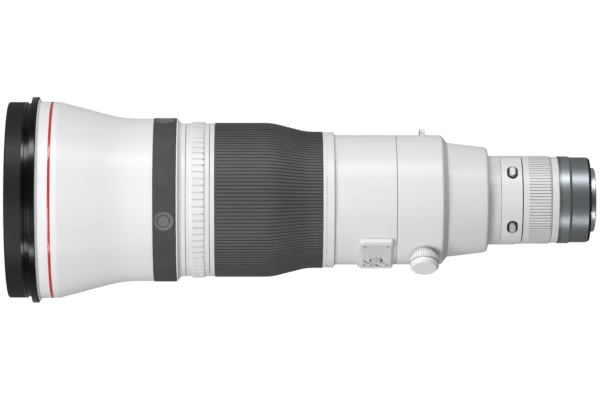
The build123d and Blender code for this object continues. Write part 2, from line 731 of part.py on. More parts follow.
def panel(index):
    angle = PANEL_ANGLES[index]
    face = RectangleRounded(PANEL_LENGTH, PANEL_SPAN, PANEL_CORNER)
    body = extrude(face, PANEL_HEIGHT - PANEL_BASE)
    top = body.faces().sort_by(Axis.Z)[-1]
    body = Pos(0, 0, PANEL_BASE) * chamfer(top.edges(), PANEL_BEVEL * 0.75, PANEL_BEVEL)
    for switch in PANEL_SWITCHES[index]:
        centre = Pos(switch["x"], -switch["t"], 0)
        pocket = SlotOverall(pocket_length(switch), switch["width"])
        body -= centre * Pos(0, 0, PANEL_HEIGHT - SWITCH_DEPTH) * extrude(pocket, SWITCH_DEPTH + 1)
        slot = SlotOverall(SWITCH_STEM + 2 * switch["travel"] + 1.0, SWITCH_STEM + 2 * RUN)
        body -= centre * Pos(0, 0, PANEL_BASE) * extrude(slot, PANEL_HEIGHT)
    if index == 1:
        bore = rod(PRESET_BUTTON_R + RUN, PANEL_HEIGHT - SWITCH_DEPTH - PRESET_BUTTON_TRAVEL, PANEL_HEIGHT + 1)
        body -= Pos(PRESET_BUTTON_X, -PRESET_BUTTON_T, 0) * bore
    for x in (-PANEL_SCREW_X, PANEL_SCREW_X):
        for t in (-PANEL_SCREW_T, PANEL_SCREW_T):
            hole = rod(PANEL_SCREW_R * 0.6 + SEAT, PANEL_BASE, PANEL_HEIGHT + 1)
            well = rod(PANEL_SCREW_R + SEAT, PANEL_HEIGHT - 0.9, PANEL_HEIGHT + 1)
            body -= Pos(x, t, 0) * (hole + well)
    body = radial(PANEL_X, angle) * body
    mitre = PANEL_ANGLE + PANEL_TURN / 2
    other_side = 90 if index == 0 else -90
    cut = radial(PANEL_X, mitre + other_side) * block(PANEL_LENGTH * 2, PANEL_SPAN * 4, -SEAT, PANEL_SPAN)
    body -= cut
    return body - tube(PANEL_X - PANEL_LENGTH, PANEL_X + PANEL_LENGTH, 1, MAIN_R + SEAT)


def panel_screws():
    screws = []
    for place in PANEL_SCREW_PLACES:
        screw = rod(PANEL_SCREW_R, PANEL_HEIGHT - 0.9 + SEAT, PANEL_HEIGHT - 0.15)
        screw += rod(PANEL_SCREW_R * 0.6, MAIN_R - 1.5, PANEL_HEIGHT - 0.8)
        for turn in (0, 90):
            screw -= Rot(0, 0, turn) * block(PANEL_SCREW_R * 1.2, 0.35, PANEL_HEIGHT - 0.5, PANEL_HEIGHT + 1)
        screws.append(place * screw)
    return joined(screws)


def slide_switch(index, switch):
    width = switch["width"] - 2 * GAP
    floor = PANEL_HEIGHT - SWITCH_DEPTH + 0.1
    crown = PANEL_HEIGHT + SWITCH_PROUD
    slider = extrude(RectangleRounded(switch["slider"], width, 0.5), crown - floor)
    slider = Pos(0, 0, floor) * slider
    for i in range(SWITCH_RIDGES):
        offset = (i - (SWITCH_RIDGES - 1) / 2) * switch["slider"] / (SWITCH_RIDGES + 1)
        slider -= Pos(offset, 0, 0) * block(0.45, width * 2, crown - 0.4, crown + 1)
    stem = rod(SWITCH_STEM / 2, MAIN_R + 0.4, floor + 0.2)
    place = radial(PANEL_X, PANEL_ANGLES[index]) * Pos(switch["x"] + switch["rest"], -switch["t"], 0)
    return place * (slider + stem)


def preset_button():
    bottom = PANEL_HEIGHT - SWITCH_DEPTH + 0.1
    cap = turned_up(
        (0, bottom),
        (PRESET_BUTTON_R, bottom),
        (PRESET_BUTTON_R, PANEL_HEIGHT + SWITCH_PROUD, 0.4),
        (0, PANEL_HEIGHT + SWITCH_PROUD),
    )
    return radial(PANEL_X, PANEL_ANGLES[1]) * Pos(PRESET_BUTTON_X, -PRESET_BUTTON_T, 0) * cap


# ---------------------------------------------------------------- tripod collar
def collar_ring():
    bore = COLLAR_R - COLLAR_WALL
    slope_start = X_COLLAR_END - COLLAR_SLOPE
    lip = X_COLLAR_END - COLLAR_LIP
    ring = turned(
        (X_COLLAR, bore),
        (X_COLLAR, COLLAR_R, EDGE),
        (slope_start, COLLAR_R, 2.2),
        (X_COLLAR_END - 0.3, COLLAR_REAR_R + 0.5, 0.5),
        (X_COLLAR_END, COLLAR_REAR_R),
        (lip, COLLAR_REAR_R),
        (lip, bore - 1.0),
        (lip - 1.2, bore),
    )
    pad = Pos(PAD_X, 0, -PAD_DROP) * block(PAD_LENGTH, PAD_WIDTH, 0, PAD_DROP)
    pad = fillet(pad.edges().filter_by(Axis.Z), 4.0)
    pad -= tube(X_COLLAR - 5, X_COLLAR_END + 5, 0.5, COLLAR_R - COLLAR_WALL / 2)
    pad -= Pos(PAD_X, 0, 0) * Box(PAD_LENGTH * 2, PAD_WIDTH * 2, COLLAR_R * 1.2)
    boss = radial(KNOB_X, KNOB_ANGLE) * turned_up(
        (0, COLLAR_R - 2),
        (KNOB_BOSS_R, COLLAR_R - 2),
        (KNOB_BOSS_R, COLLAR_R + KNOB_BOSS_HEIGHT, 0.4),
        (0, COLLAR_R + KNOB_BOSS_HEIGHT),
    )
    boss -= tube(X_COLLAR - 5, X_COLLAR_END + 5, 0.5, COLLAR_R - COLLAR_WALL / 2)
    ring = ring + pad + boss
    pocket = radial(KNOB_X, KNOB_ANGLE) * block(
        SHOE_SIDE + 2 * GAP, SHOE_SIDE + 2 * GAP, JOURNAL_R - 4, SHOE_TOP + SHOE_LIFT + GAP
    )
    thread = radial(KNOB_X, KNOB_ANGLE) * rod(LOCK_SCREW_R + RUN, JOURNAL_R, COLLAR_R + 5)
    ring -= [pocket, thread]
    for place in FOOT_SCREW_PLACES:
        ring -= place * rod(FOOT_SCREW_R + SEAT, -PAD_DROP - 1, -PAD_DROP + FOOT_SCREW_LENGTH - FLANGE_GRIP + GAP)
    return ring


def collar_liners():
    inner = JOURNAL_R + RUN
    outer = COLLAR_R - COLLAR_WALL - SEAT
    front = tube(X_COLLAR + 0.2, X_COLLAR + 0.2 + LINER_WIDTH, inner, outer)
    rear_end = X_COLLAR_END - COLLAR_LIP - 1.4
    rear = tube(rear_end - LINER_WIDTH * 0.7, rear_end, inner, outer)
    clear = radial(KNOB_X, KNOB_ANGLE) * block(SHOE_SIDE + 2 * GAP, SHOE_SIDE + 2 * GAP, 0, COLLAR_R)
    return joined([front - clear, rear - clear])


def clamp_shoe():
    shoe = radial(KNOB_X, KNOB_ANGLE) * block(SHOE_SIDE, SHOE_SIDE, JOURNAL_R - 3, SHOE_TOP)
    return shoe - tube(X_COLLAR, X_COLLAR_END, 1, JOURNAL_R + RUN)


def lock_screw():
    tip = SHOE_TOP + SEAT
    head = COLLAR_R + KNOB_BOSS_HEIGHT + GAP + KNOB_HEIGHT * 0.6
    return radial(KNOB_X, KNOB_ANGLE) * rod(LOCK_SCREW_R, tip, head)


def lock_knob():
    base = COLLAR_R + KNOB_BOSS_HEIGHT + GAP
    knurl = base + KNOB_FOOT
    neck = knurl + KNOB_KNURL
    cap = neck + KNOB_NECK
    top = base + KNOB_HEIGHT
    knob = turned_up(
        (0, base),
        (KNOB_R - 0.7, base, EDGE),
        (KNOB_R - 0.7, knurl),
        (KNOB_R, knurl + 0.4),
        (KNOB_R, neck - 0.3),
        (KNOB_R - 0.6, neck),
        (KNOB_R - 0.6, cap),
        (KNOB_R - 0.1, cap, EDGE),
        (KNOB_R - 0.1, cap + 1.0, 0.8),
        (KNOB_R - 2.0, top, 1.0),
        (0, top),
    )
    flute = Pos(KNOB_R + 0.35, 0, 0) * rod(0.75, knurl + 0.2, neck - 0.1)
    knob -= [Rot(0, 0, 360 * i / KNOB_FLUTES) * flute for i in range(KNOB_FLUTES)]
    knob -= rod(LOCK_SCREW_R + SEAT, base - 1, base + KNOB_HEIGHT * 0.6 + SEAT)
    return radial(KNOB_X, KNOB_ANGLE) * knob


def strap_lugs():
    outer = COLLAR_R + LUG_HEIGHT
    inner = COLLAR_R - 2.5
    lugs = []
    for angle in (90, -90):
        bar = radial(LUG_X, angle) * block(LUG_WIDTH, LUG_LENGTH, inner, outer)
        edges = bar.edges().filter_by(Axis.X).sort_by(Axis.Y)
        bar = fillet(edges[-2:] if angle < 0 else edges[:2], 2.2)
        slot = radial(LUG_X, angle) * block(LUG_WIDTH * 2, LUG_SLOT, inner - 1, outer - LUG_BAR)
        bar = bar - slot - tube(LUG_X - 10, LUG_X + 10, 1, COLLAR_R + SEAT)
        lugs.append(bar)
    return joined(lugs)


# ---------------------------------------------------------------- tripod foot
def tripod_foot():
    front = FOOT_END - FOOT_LENGTH
    stem_front = PAD_X - PAD_LENGTH / 2
    profile = make_face(
        FilletPolyline(
            (front, -AXIS_HEIGHT),
            (FOOT_END, -AXIS_HEIGHT),
            (FOOT_END, -FOOT_TOP),
            (PAD_X + PAD_LENGTH / 2, -FOOT_TOP),
            (PAD_X + PAD_LENGTH / 2, -PAD_DROP),
            (stem_front, -PAD_DROP),
            (stem_front, -FOOT_TOP),
            (front, -FOOT_TOP),
            radius=[1.5, 1.5, 3, 2.0, 0, 0, 12, 5],
            close=True,
        )
    )
    side = Plane.XZ * profile
    body = extrude(side, PAD_WIDTH / 2, both=True)
    plan = RectangleRounded(FOOT_LENGTH, FOOT_WIDTH, 9)
    plate_zone = Pos(FOOT_X, 0, -AXIS_HEIGHT) * extrude(plan, FOOT_THICKNESS)
    stem_zone = Pos(PAD_X, 0, -AXIS_HEIGHT) * block(PAD_LENGTH + 30, STEM_WIDTH, 0, FOOT_TOP)
    flange_plan = RectangleRounded(PAD_LENGTH, PAD_WIDTH, 4)
    flange_zone = Pos(PAD_X, 0, -PAD_DROP - FLANGE_THICKNESS) * extrude(flange_plan, FLANGE_THICKNESS)
    foot = body & (plate_zone + stem_zone + flange_zone)
    for place in FOOT_SCREW_PLACES:
        foot -= place * rod(FOOT_SCREW_R + SEAT, -PAD_DROP - FLANGE_THICKNESS - 1, -PAD_DROP + 1)
        foot -= place * rod(FOOT_SCREW_HEAD_R + SEAT, -PAD_DROP - FLANGE_THICKNESS - 1, -PAD_DROP - FLANGE_GRIP)
    for place, radius in THREAD_PLACES:
        foot -= place * rod(radius, -AXIS_HEIGHT - 1, -AXIS_HEIGHT + THREAD_DEPTH)
    return foot


def foot_screws():
    screws = []
    for place in FOOT_SCREW_PLACES:
        head_top = -PAD_DROP - FLANGE_GRIP
        screw = rod(FOOT_SCREW_HEAD_R, head_top - FOOT_SCREW_HEAD + 0.3, head_top - SEAT)
        screw += rod(FOOT_SCREW_R, head_top - 1, head_top + FOOT_SCREW_LENGTH)
        socket = extrude(RegularPolygon(2.0, 6), 2.4)
        screw -= Pos(0, 0, head_top - FOOT_SCREW_HEAD) * socket
        screws.append(place * screw)
    return joined(screws)


# ---------------------------------------------------------------- neck and rear barrel
def neck_bore(x):
    """Inner radius of the neck barrel, which narrows with its outside."""
    taper = (NECK_R - NECK_REAR_R) / NECK_LENGTH
    return NECK_R - NECK_WALL - taper * max(0, x - X_NECK)


def neck_barrel():
    end = X_REAR
    bore = CONTROL_JOURNAL_R
    floor = end - NECK_WALL * 1.3
    return turned(
        (X_NECK - NECK_SPIGOT, NECK_R - NECK_WALL),
        (X_NECK - NECK_SPIGOT, NECK_R),
        (X_NECK, NECK_R),
        (end, NECK_REAR_R, NECK_CORNER),
        (end, bore + SEAT),
        (floor, bore + SEAT),
        (floor, neck_bore(floor), 2),
        (X_NECK, NECK_R - NECK_WALL),
    )


def rear_barrel():
    filter_end = X_REAR + FILTER_SECTION
    barrel = turned(
        (X_REAR - REAR_SPIGOT, REAR_BORE_R),
        (X_REAR - REAR_SPIGOT, CONTROL_JOURNAL_R),
        (X_REAR + SEAT, CONTROL_JOURNAL_R),
        (X_REAR + SEAT, REAR_R),
        (filter_end, REAR_R, EDGE),
        (filter_end, CONTROL_JOURNAL_R),
        (X_MOUNT + MOUNT_SPIGOT, CONTROL_JOURNAL_R),
        (X_MOUNT + MOUNT_SPIGOT, REAR_BORE_R),
    )
    pad = tube(X_REAR + 0.8, COVER_X + COVER_LENGTH / 2 - 5, REAR_R - 1, REAR_R + PAD_PROUD)
    barrel += pad & sector(X_REAR, filter_end, REAR_R * 2, 90, PAD_ARC)
    cover_space = tube(COVER_X - COVER_LENGTH / 2 - GAP, filter_end, REAR_R - COVER_THICKNESS - GAP, REAR_R + 3)
    barrel -= cover_space & sector(X_REAR, filter_end, REAR_R * 2, 0, 2 * COVER_HALF_ANGLE + 0.8)
    frame_gap = FRAME_R + GAP + 0.2
    barrel -= Pos(FILTER_X, 0, 0) * block(FRAME_THICKNESS + 2 * GAP, 2 * frame_gap, 0, REAR_R + 5)
    return barrel


def filter_cover():
    shell = turned(
        (COVER_X - COVER_LENGTH / 2, REAR_R - COVER_THICKNESS),
        (COVER_X - COVER_LENGTH / 2, REAR_R, EDGE),
        (COVER_X + COVER_LENGTH / 2, REAR_R, EDGE),
        (COVER_X + COVER_LENGTH / 2, REAR_R - COVER_THICKNESS),
    )
    cover = shell & sector(X_REAR, X_CONTROL, REAR_R * 2, 0, 2 * COVER_HALF_ANGLE)
    for side in (-1, 1):
        place = radial(FILTER_X, side * RELEASE_ANGLE)
        floor = SlotOverall(RELEASE_WELL_LENGTH, RELEASE_WELL_WIDTH, rotation=90)
        well = extrude(floor, RELEASE_WELL_DEPTH + 1, taper=-RELEASE_WELL_SLOPE)
        cover -= place * Pos(0, 0, REAR_R - RELEASE_WELL_DEPTH) * well
        cover -= place * rod(RELEASE_STEM_R + RUN, REAR_R - COVER_THICKNESS - 2, REAR_R)
    return cover


def filter_frame():
    top = REAR_R
    plate = Pos(FILTER_X, 0, 0) * block(FRAME_THICKNESS, 2 * FRAME_R, 0, top)
    plate += tube(FILTER_X - FRAME_THICKNESS / 2, FILTER_X + FRAME_THICKNESS / 2, FRAME_R / 2, FRAME_R)
    plate -= tube(FILTER_X - FRAME_THICKNESS, FILTER_X + FRAME_THICKNESS, REAR_R - COVER_THICKNESS - SEAT, REAR_R * 2)
    seat_back = FILTER_X + FILTER_THICKNESS / 2 + SEAT
    opening = turned(
        (FILTER_X - FRAME_THICKNESS, 0),
        (FILTER_X - FRAME_THICKNESS, FILTER_R + SEAT),
        (seat_back, FILTER_R + SEAT),
        (seat_back, FILTER_CLEAR_R),
        (FILTER_X + FRAME_THICKNESS, FILTER_CLEAR_R),
        (FILTER_X + FRAME_THICKNESS, 0),
    )
    plate -= opening
    depth = REAR_R - RELEASE_WELL_DEPTH - RELEASE_STEM - RELEASE_TRAVEL - GAP
    for side in (-1, 1):
        plate -= radial(FILTER_X, side * RELEASE_ANGLE) * rod(RELEASE_STEM_R + GAP, depth, REAR_R)
    return plate


def filter_glass():
    return tube(FILTER_X - FILTER_THICKNESS / 2, FILTER_X + FILTER_THICKNESS / 2, 0, FILTER_R)


def filter_release(side):
    top = REAR_R + RELEASE_PROUD
    under = REAR_R - RELEASE_WELL_DEPTH + RELEASE_TRAVEL + 0.1
    cap = extrude(SlotOverall(RELEASE_LENGTH, RELEASE_WIDTH, rotation=90), top - under)
    cap = Pos(0, 0, under) * chamfer(cap.faces().sort_by(Axis.Z)[-1].edges(), 0.6)
    stem = rod(RELEASE_STEM_R, REAR_R - RELEASE_WELL_DEPTH - RELEASE_STEM + RELEASE_TRAVEL, under + 0.5)
    return radial(FILTER_X, side * RELEASE_ANGLE) * (cap + stem)


def control_ring():
    end = X_CONTROL + CONTROL_LENGTH
    ring = turned(
        (X_CONTROL, CONTROL_JOURNAL_R + RUN),
        (X_CONTROL, CONTROL_R, EDGE),
        (end - CONTROL_BEVEL, CONTROL_R, EDGE),
        (end, END_RING_R),
        (end, CONTROL_JOURNAL_R + RUN),
    )
    length = CONTROL_LENGTH - CONTROL_BAND
    groove = Pos(end + GAP - length / 2, 0, 0) * block(
        length, CONTROL_GROOVE, CONTROL_R - CONTROL_GROOVE_DEPTH, CONTROL_R + 1
    )
    return ring - round_turns(groove, CONTROL_GROOVES)


def end_ring():
    return turned(
        (X_END_RING, CONTROL_JOURNAL_R + SEAT),
        (X_END_RING, END_RING_R, EDGE),
        (X_MOUNT - SEAT, END_RING_R, EDGE),
        (X_MOUNT - SEAT, CONTROL_JOURNAL_R + SEAT),
    )


# ---------------------------------------------------------------- camera mount
def mount_ring():
    band_end = X_MOUNT + MOUNT_BAND_LENGTH
    spigot_end = X_MOUNT + MOUNT_SPIGOT + SEAT
    ring = turned(
        (X_MOUNT, CONTROL_JOURNAL_R + SEAT),
        (X_MOUNT, MOUNT_BAND_R, EDGE),
        (band_end, MOUNT_BAND_R, EDGE),
        (band_end + MOUNT_TAPER, MOUNT_R, EDGE),
        (X_MOUNT_FACE, MOUNT_R, 0.2),
        (X_MOUNT_FACE, FLANGE_BORE_R),
        (X_MOUNT_FACE - MOUNT_WALL_END, FLANGE_BORE_R),
        (X_MOUNT_FACE - MOUNT_WALL_END, MOUNT_BORE_R),
        (spigot_end, MOUNT_BORE_R),
        (spigot_end, CONTROL_JOURNAL_R + SEAT),
    )
    for place in MOUNT_SCREW_PLACES:
        ring -= place * Rot(0, 90, 0) * rod(MOUNT_SCREW_R + SEAT, -MOUNT_WALL_END - 1, 1)
    ring -= radial(INDEX_X, KNOB_ANGLE) * rod(INDEX_R + SEAT, MOUNT_R - 0.7, MOUNT_R + 1)
    return ring


def mount_gasket():
    return turned(
        (X_MOUNT_FACE + SEAT, FLANGE_R + SEAT),
        (X_MOUNT_FACE + SEAT, GASKET_R, 0.2),
        (X_MOUNT_FACE + GASKET_LENGTH * 0.5, GASKET_R, 0.5),
        (X_MOUNT_FACE + GASKET_LENGTH, GASKET_R - 0.6, 0.2),
        (X_MOUNT_FACE + GASKET_LENGTH, FLANGE_R + SEAT),
    )


def bayonet_mount():
    start = X_MOUNT_FACE - MOUNT_WALL_END
    end = X_FLANGE + BAYONET_LENGTH
    mount = turned(
        (start, BAYONET_BORE_R),
        (start, FLANGE_BORE_R - SEAT),
        (X_MOUNT_FACE + SEAT, FLANGE_BORE_R - SEAT),
        (X_MOUNT_FACE + SEAT, FLANGE_R),
        (X_FLANGE, FLANGE_R, 0.2),
        (X_FLANGE, BAYONET_R),
        (end, BAYONET_R, 0.4),
        (end, BAYONET_BORE_R, EDGE),
    )
    tab_ring = turned(
        (end - BAYONET_TAB, BAYONET_R - 0.5),
        (end - BAYONET_TAB, BAYONET_TAB_R, 0.2),
        (end - 0.3, BAYONET_TAB_R, 0.5),
        (end - 0.3, BAYONET_R - 0.5),
    )
    for i in range(3):
        mount += tab_ring & sector(X_FLANGE, end + 1, BAYONET_TAB_R * 2, 120 * i, BAYONET_TAB_ARC)
    for place in MOUNT_SCREW_PLACES:
        mount -= place * Rot(0, 90, 0) * rod(MOUNT_SCREW_R + SEAT, -1, FLANGE_DISC + 1)
        mount -= place * Rot(0, 90, 0) * rod(MOUNT_SCREW_HEAD_R + SEAT, FLANGE_DISC - 0.9, FLANGE_DISC + 1)
    return mount


def mount_screws():
    screws = []
    for place in MOUNT_SCREW_PLACES:
        screw = rod(MOUNT_SCREW_R, -MOUNT_WALL_END + 0.2, FLANGE_DISC - 0.5)
        screw += rod(MOUNT_SCREW_HEAD_R, FLANGE_DISC - 0.85, FLANGE_DISC - 0.1)
        for turn in (0, 90):
            screw -= Rot(0, 0, turn) * block(MOUNT_SCREW_HEAD_R * 1.2, 0.5, FLANGE_DISC - 0.5, FLANGE_DISC + 1)
        screws.append(place * Rot(0, 90, 0) * screw)
    return joined(screws)


def contact_block():
    start = X_MOUNT_FACE - MOUNT_WALL_END
    end = X_FLANGE + BAYONET_LENGTH - 1.2
    ring = tube(start, end, BAYONET_BORE_R - 3.2, BAYONET_BORE_R - SEAT)
    return ring & sector(start - 1, end + 1, BAYONET_R * 2, 180, 78)


def contact_pins():
    end = X_FLANGE + BAYONET_LENGTH - 1.2
    pins = []
    for i in range(CONTACTS):
        angle = 180 + (i - (CONTACTS - 1) / 2) * 6.0
        place = Pos(end, 0, 0) * Rot(angle, 0, 0) * Pos(0, 0, BAYONET_BORE_R - 1.6) * Rot(0, 90, 0)
        pins.append(place * rod(CONTACT_R, 0, 0.45))
    return joined(pins)


# ---------------------------------------------------------------- optics and mechanisms
def front_cell():
    seat = FRONT_ELEMENT_SET_BACK + FRONT_ELEMENT_EDGE + SEAT
    start = FRONT_ELEMENT_SET_BACK - RETAINER_LENGTH - 1.0
    end = start + CELL_LENGTH
    bore = FRONT_ELEMENT_R + GLUE
    return turned(
        (start, bore),
        (start, CELL_R),
        (end, CELL_R),
        (end, bore),
        (seat + 2.5, bore),
        (seat + 2.5, bore - RETAINER_WALL),
        (seat, bore - RETAINER_WALL),
        (seat, bore),
    )


def front_retaining_ring():
    start = FRONT_ELEMENT_SET_BACK - RETAINER_LENGTH
    end = FRONT_ELEMENT_SET_BACK - SEAT
    lip = FRONT_ELEMENT_R - RETAINER_WALL
    set_back = bulge(FRONT_ELEMENT_R, RETAINER_WALL, FRONT_ELEMENT_SAG)
    return turned(
        (start, lip + 0.8),
        (start, FRONT_ELEMENT_R),
        (end, FRONT_ELEMENT_R),
        (end - set_back, lip),
    )


def front_element():
    return lens(FRONT_ELEMENT_SET_BACK, FRONT_ELEMENT_EDGE, FRONT_ELEMENT_R, FRONT_ELEMENT_SAG, 0)


def middle_lens():
    return lens(MIDDLE_X, MIDDLE_LENS_EDGE, MIDDLE_LENS_R, *MIDDLE_LENS_SAGS)


def middle_cell():
    stop = MIDDLE_X + MIDDLE_LENS_EDGE + SEAT + bulge(MIDDLE_LENS_R, MIDDLE_LIP, MIDDLE_LENS_SAGS[1])
    return turned(
        (MIDDLE_X - 1.0, MIDDLE_LENS_R + GLUE),
        (MIDDLE_X - 1.0, MIDDLE_CELL_R),
        (stop + 3.0, MIDDLE_CELL_R),
        (stop + 3.0, MIDDLE_LENS_R - MIDDLE_LIP),
        (stop, MIDDLE_LENS_R - MIDDLE_LIP),
        (stop, MIDDLE_LENS_R + GLUE),
    )


def rail_plates():
    front = tube(RAIL_START, RAIL_START + RAIL_PLATE, FOCUS_LENS_R + 4, MAIN_BORE_R - SEAT)
    rear_start = RAIL_START + RAIL_SPAN - RAIL_PLATE
    rear = tube(rear_start, rear_start + RAIL_PLATE, FOCUS_LENS_R + 4, REAR_MAIN_BORE_R - SEAT)
    holes = [rail(angle, SEAT, 2) for angle in RAIL_ANGLES]
    return joined([front - holes, rear - holes])


def rail(angle, grow, extra):
    centre = RAIL_START + RAIL_SPAN / 2
    bar = Rot(0, 90, 0) * Cylinder(RAIL_R + grow, RAIL_SPAN + extra)
    return Pos(centre, 0, 0) * Rot(angle, 0, 0) * Pos(0, 0, RAIL_OFFSET) * bar


def focus_rails():
    return joined([rail(angle, 0, 0) for angle in RAIL_ANGLES])


def focus_carriage():
    half = CARRIAGE_LENGTH / 2
    ring = turned(
        (CARRIAGE_X - half, FOCUS_LENS_R + GLUE),
        (CARRIAGE_X - half, CARRIAGE_R - 4),
        (CARRIAGE_X - 1.5, CARRIAGE_R),
        (CARRIAGE_X + half, CARRIAGE_R),
        (CARRIAGE_X + half, FOCUS_LENS_R - FOCUS_LIP),
        (CARRIAGE_X + FOCUS_LENS_EDGE / 2 + SEAT, FOCUS_LENS_R - FOCUS_LIP),
        (CARRIAGE_X + FOCUS_LENS_EDGE / 2 + SEAT, FOCUS_LENS_R + GLUE),
    )
    ear = RAIL_R + 2.2
    for angle in RAIL_ANGLES:
        ring += radial(CARRIAGE_X + 1, angle) * block(CARRIAGE_LENGTH - 2, 2 * ear, CARRIAGE_R - 2, RAIL_OFFSET + ear)
    return ring - [rail(angle, RUN, 4) for angle in RAIL_ANGLES]


def focus_lens():
    return lens(CARRIAGE_X - FOCUS_LENS_EDGE / 2, FOCUS_LENS_EDGE, FOCUS_LENS_R, *FOCUS_LENS_SAGS)


def focus_motor():
    start = RAIL_START + RAIL_PLATE + SEAT
    length = RAIL_SPAN - 2 * RAIL_PLATE - 2 * SEAT
    top = REAR_MAIN_BORE_R - 1.0
    body = block(length, MOTOR_WIDTH, top - MOTOR_HEIGHT, top)
    body = Pos(start + length / 2, 0, 0) * fillet(body.edges().filter_by(Axis.X), 1.0)
    return body - Pos(start + length / 2, 0, top - MOTOR_HEIGHT) * Box(length - 8, 3, 3)


def stabiliser_frame():
    end = STABILISER_X + STABILISER_DEPTH
    outer = NECK_R - NECK_WALL - SEAT
    rear = neck_bore(end) - SEAT
    return turned(
        (STABILISER_X, STABILISER_LENS_R + 9),
        (STABILISER_X, outer),
        (X_NECK, outer),
        (end, rear),
        (end, rear - 1.6),
        (STABILISER_X + STABILISER_PLATE, rear - 1.6),
        (STABILISER_X + STABILISER_PLATE, STABILISER_LENS_R + 9),
    )


def stabiliser_yaw_ring():
    return tube(YAW_X, YAW_X + STABILISER_PLATE, STABILISER_LENS_R + 6, STABILISER_R - 6)


def stabiliser_lens_holder():
    stop = PITCH_X + STABILISER_LENS_EDGE + 2 * SEAT + bulge(STABILISER_LENS_R, SMALL_LIP, STABILISER_LENS_SAGS[1])
    end = stop + 0.9
    return turned(
        (PITCH_X, STABILISER_LENS_R + GLUE),
        (PITCH_X, STABILISER_R - 8),
        (PITCH_X + STABILISER_PLATE, STABILISER_R - 8),
        (PITCH_X + STABILISER_PLATE, STABILISER_LENS_R + 4),
        (end, STABILISER_LENS_R + 3),
        (end, STABILISER_LENS_R - SMALL_LIP),
        (stop, STABILISER_LENS_R - SMALL_LIP),
        (stop, STABILISER_LENS_R + GLUE),
    )


def stabiliser_lens():
    return lens(PITCH_X + SEAT, STABILISER_LENS_EDGE, STABILISER_LENS_R, *STABILISER_LENS_SAGS)


def aperture_housing():
    end = APERTURE_X + APERTURE_LENGTH
    rear = neck_bore(end) - SEAT
    return turned(
        (APERTURE_X, APERTURE_OPEN_R + 3),
        (APERTURE_X, neck_bore(APERTURE_X) - SEAT),
        (end, rear),
        (end, rear - 2),
        (APERTURE_X + 2, rear - 2),
        (APERTURE_X + 2, APERTURE_OPEN_R + 3),
    )


def aperture_blades():
    start = APERTURE_X + 2 + SEAT
    leaf = tube(start, start + BLADE_THICKNESS, APERTURE_OPEN_R, APERTURE_OPEN_R + 7)
    arc = 360 / BLADES
    return joined([leaf & sector(start - 1, start + 1, 60, arc * i, arc - 1.0) for i in range(BLADES)])


def aperture_drive_ring():
    start = APERTURE_X + 2 + SEAT + BLADE_THICKNESS + GAP
    outer = neck_bore(APERTURE_X + APERTURE_LENGTH) - SEAT - 2 - RUN
    ring = tube(start, start + 2.5, APERTURE_OPEN_R + 2, outer)
    lever = radial(start + 3.5, 0) * block(4.0, 6.0, outer - 6, outer - 1)
    return ring + lever


def rear_lens_cell():
    stop = REAR_LENS_X + REAR_LENS_EDGE + SEAT + bulge(REAR_LENS_R, SMALL_LIP, REAR_LENS_SAGS[1])
    return turned(
        (REAR_LENS_X - 1.0, REAR_LENS_R + GLUE),
        (REAR_LENS_X - 1.0, REAR_BORE_R - SEAT),
        (stop + 3.0, REAR_BORE_R - SEAT),
        (stop + 3.0, REAR_LENS_R - SMALL_LIP),
        (stop, REAR_LENS_R - SMALL_LIP),
        (stop, REAR_LENS_R + GLUE),
    )


def rear_lens():
    return lens(REAR_LENS_X, REAR_LENS_EDGE, REAR_LENS_R, *REAR_LENS_SAGS)


def last_element_cell():
    end = LAST_X + LAST_LENS_EDGE
    return turned(
        (LAST_X - 2.5, LAST_LENS_R - SMALL_LIP),
        (LAST_X - 2.5, REAR_BORE_R - SEAT),
        (end, REAR_BORE_R - SEAT),
        (end + 1.5, LAST_LENS_R + 2.5),
        (end + 1.5, LAST_LENS_R + GLUE),
        (LAST_X - SEAT, LAST_LENS_R + GLUE),
        (LAST_X - SEAT, LAST_LENS_R - SMALL_LIP),
    )


def last_element():
    return lens(LAST_X, LAST_LENS_EDGE, LAST_LENS_R, *LAST_LENS_SAGS)


def circuit_board():
    x = LAST_X - 2.5 - BOARD_THICKNESS - SEAT
    board = tube(x, x + BOARD_THICKNESS, REAR_LENS_R + 1, REAR_BORE_R - SEAT)
    chips = []
    for angle, width in ((0, 7.0), (80, 4.0), (150, 5.0), (215, 4.0), (290, 6.0)):
        chips.append(radial(x - 0.5, angle) * block(1.0, width, REAR_LENS_R + 2.5, REAR_LENS_R + 6.5))
    for chip in chips:
        board += chip
    return board


def lens_cells():
    return joined([front_retaining_ring(), front_cell(), middle_cell(), rear_lens_cell(), last_element_cell()])


def inner_lenses():
    return joined([middle_lens(), rear_lens(), last_element()])


def focus_rail_frame():
    return joined([rail_plates(), focus_rails()])


def aperture_unit():
    return joined([aperture_housing(), aperture_blades(), aperture_drive_ring()])


